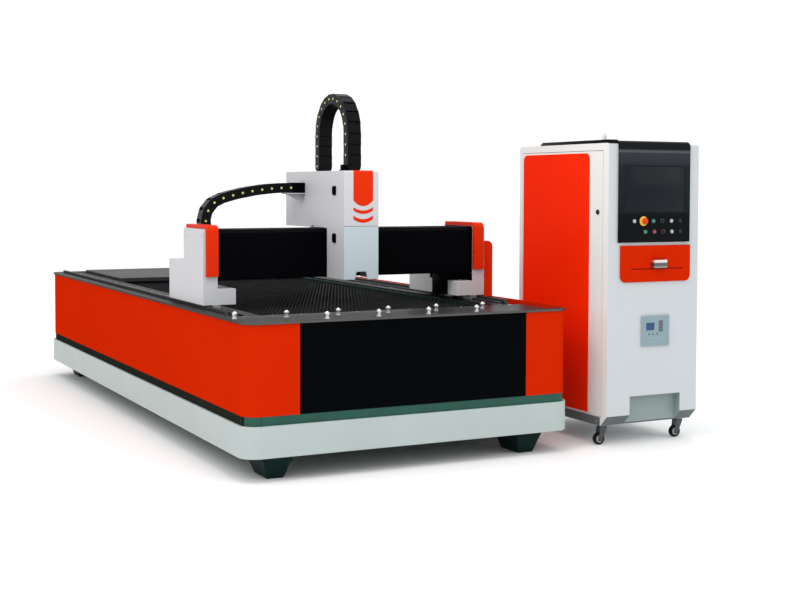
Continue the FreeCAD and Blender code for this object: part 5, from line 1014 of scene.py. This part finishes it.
def casters():
    """Four swivel casters: a folded fork with its bearing on one body, the wheel on the next."""
    for index, (x, y) in enumerate(((1414, 118), (2020, 118), (1414, 988), (2020, 988)), start=1):
        fork = Form()
        top, axle = 122.7, x - 28
        fork.turn([(23, 0), (23.3, -1), (23.3, -4), (20, -5)], (x, y, top), "z", 0, 36)
        fork.turn([(20, -5), (22, -6), (22, -8), (0, -8)], (x, y, top), "z", 0, 36)
        crown = top - 8
        arm = [(axle - 13, 26), (axle - 8, 22), (axle + 8, 22), (axle + 13, 26), (x + 21, crown - 7),
               (x + 21, crown), (x - 30, crown), (x - 30, crown - 7)]
        for near in (y - 21, y + 17):
            fork.slab(arm, facing_front, (near, near + 4))
        fork.box((x - 30, x + 21), (y - 21, y + 21), (crown, crown + 4), 0, 0.8)
        fork.turn([(4, 0), (4, 38)], (axle, y - 19, 38), "y", 0, 20)
        for side, way in ((y - 21, "-y"), (y + 21, "y")):
            fork.turn([(6.5, -0.5), (6.5, 1.6), (5, 2.4), (0, 2.4)], (axle, side, 38), way, 0, 6)
        fork.make(f"caster_frame_{index}", ["fork"], f"caster_{index}",
                  [f"caster_fork_{index}"])

        wheel = Form()
        half = 15.0
        wheel.turn([(25, -half + 2), (27, -half), (33.5, -half), (36.8, -half + 2), (38, -half + 5.5),
                    (38, half - 5.5), (36.8, half - 2), (33.5, half), (27, half), (25, half - 2)],
                   (axle, y, 38), "y", 0, 44)
        wheel.turn([(4.4, -half), (9, -half), (10, -half + 2), (11, -half + 5), (23, -half + 5),
                    (25, -half + 2)], (axle, y, 38), "y", 1, 44)
        wheel.turn([(25, half - 2), (23, half - 5), (11, half - 5), (10, half - 2), (9, half), (4.4, half),
                    (4.4, -half)], (axle, y, 38), "y", 1, 44)
        wheel.make(f"caster_roller_{index}", ["tyre", "hub"], f"wheel_{index}",
                   [f"caster_wheel_{index}"])


casters()

# the beacon on the cabinet's top
lamp = Form()
spot = (CABINET + 35, 100, CABINET_TOP)
lamp.turn([(17, 0), (17, 14), (16, 16.5), (13.6, 17)], spot, "z", 0, 36)
lamp.turn([(13.6, 17), (13.6, 54), (12.6, 59), (9, 64), (4, 66), (0, 66)], spot, "z", 0, 36)
for level in (26, 35, 44):
    lamp.turn([(13.7, level), (14.3, level + 1.5), (14.3, level + 3), (13.7, level + 4.5)], spot, "z", 0, 36)
lamp.make("beacon_lamp", ["lamp"], "machine", ["beacon"])

# ---------------------------------------------------------------- floor, light and camera

floor_mesh = bpy.data.meshes.new("floor")
floor_mesh.from_pydata([(-60, -60, 0), (60, -60, 0), (60, 60, 0), (-60, 60, 0)], [], [(0, 1, 2, 3)])
floor_mesh.materials.append(finish("pale_floor", (0.96, 0.96, 0.96), 0.9, cloud=0.004, bump=0.0, gloss=0.0))
floor = bpy.data.objects.new("floor", floor_mesh)
bpy.context.scene.collection.objects.link(floor)

world = bpy.data.worlds.new("studio")
world.use_nodes = True
world.node_tree.nodes["Background"].inputs["Color"].default_value = (1.0, 1.0, 1.0, 1)
world.node_tree.nodes["Background"].inputs["Strength"].default_value = 1.06
bpy.context.scene.world = world
bpy.context.scene.view_settings.view_transform = "Standard"


def softbox(name, spot, target, size, power):
    light = bpy.data.lights.new(name, "AREA")
    light.shape = "RECTANGLE"
    light.size, light.size_y = size
    light.energy = power
    lamp_object = bpy.data.objects.new(name, light)
    lamp_object.location = spot
    lamp_object.rotation_euler = (Vector(target) - Vector(spot)).to_track_quat("-Z", "Y").to_euler()
    bpy.context.scene.collection.objects.link(lamp_object)


# where each light stands, what it looks at, its size in metres and its power in watts
softbox("side", (-1.42, -2.9, 3.4), (1.0, -1.7, 0.9), (1.2, 1.6), 22)
softbox("key", (-6.5, -5.5, 6.0), (-0.3, 0, 0.8), (5, 4), 110)
softbox("fill", (5.5, -7.5, 4.0), (0.4, 0, 0.8), (5, 4), 50)
softbox("top", (0.0, 0.5, 7.5), (0, 0, 0.8), (7, 7), 80)

# the camera solved from the photo's vanishing lines: its turn to the side, tilt down and roll, in degrees
HEADING, TILT, ROLL = -26.933, 2.425, 0.165
EYE = (-4.032, -9.1375, 1.629)
camera = bpy.data.cameras.new("view")
camera.lens = 59.157
camera.sensor_width = 36.0
camera.shift_y = -0.07
eye = bpy.data.objects.new("view", camera)
turn = (Matrix.Rotation(math.radians(HEADING), 4, "Z") @ Matrix.Rotation(math.radians(90 - TILT), 4, "X")
        @ Matrix.Rotation(math.radians(ROLL), 4, "Z"))
eye.matrix_world = Matrix.Translation(EYE) @ turn
bpy.context.scene.collection.objects.link(eye)
bpy.context.scene.camera = eye
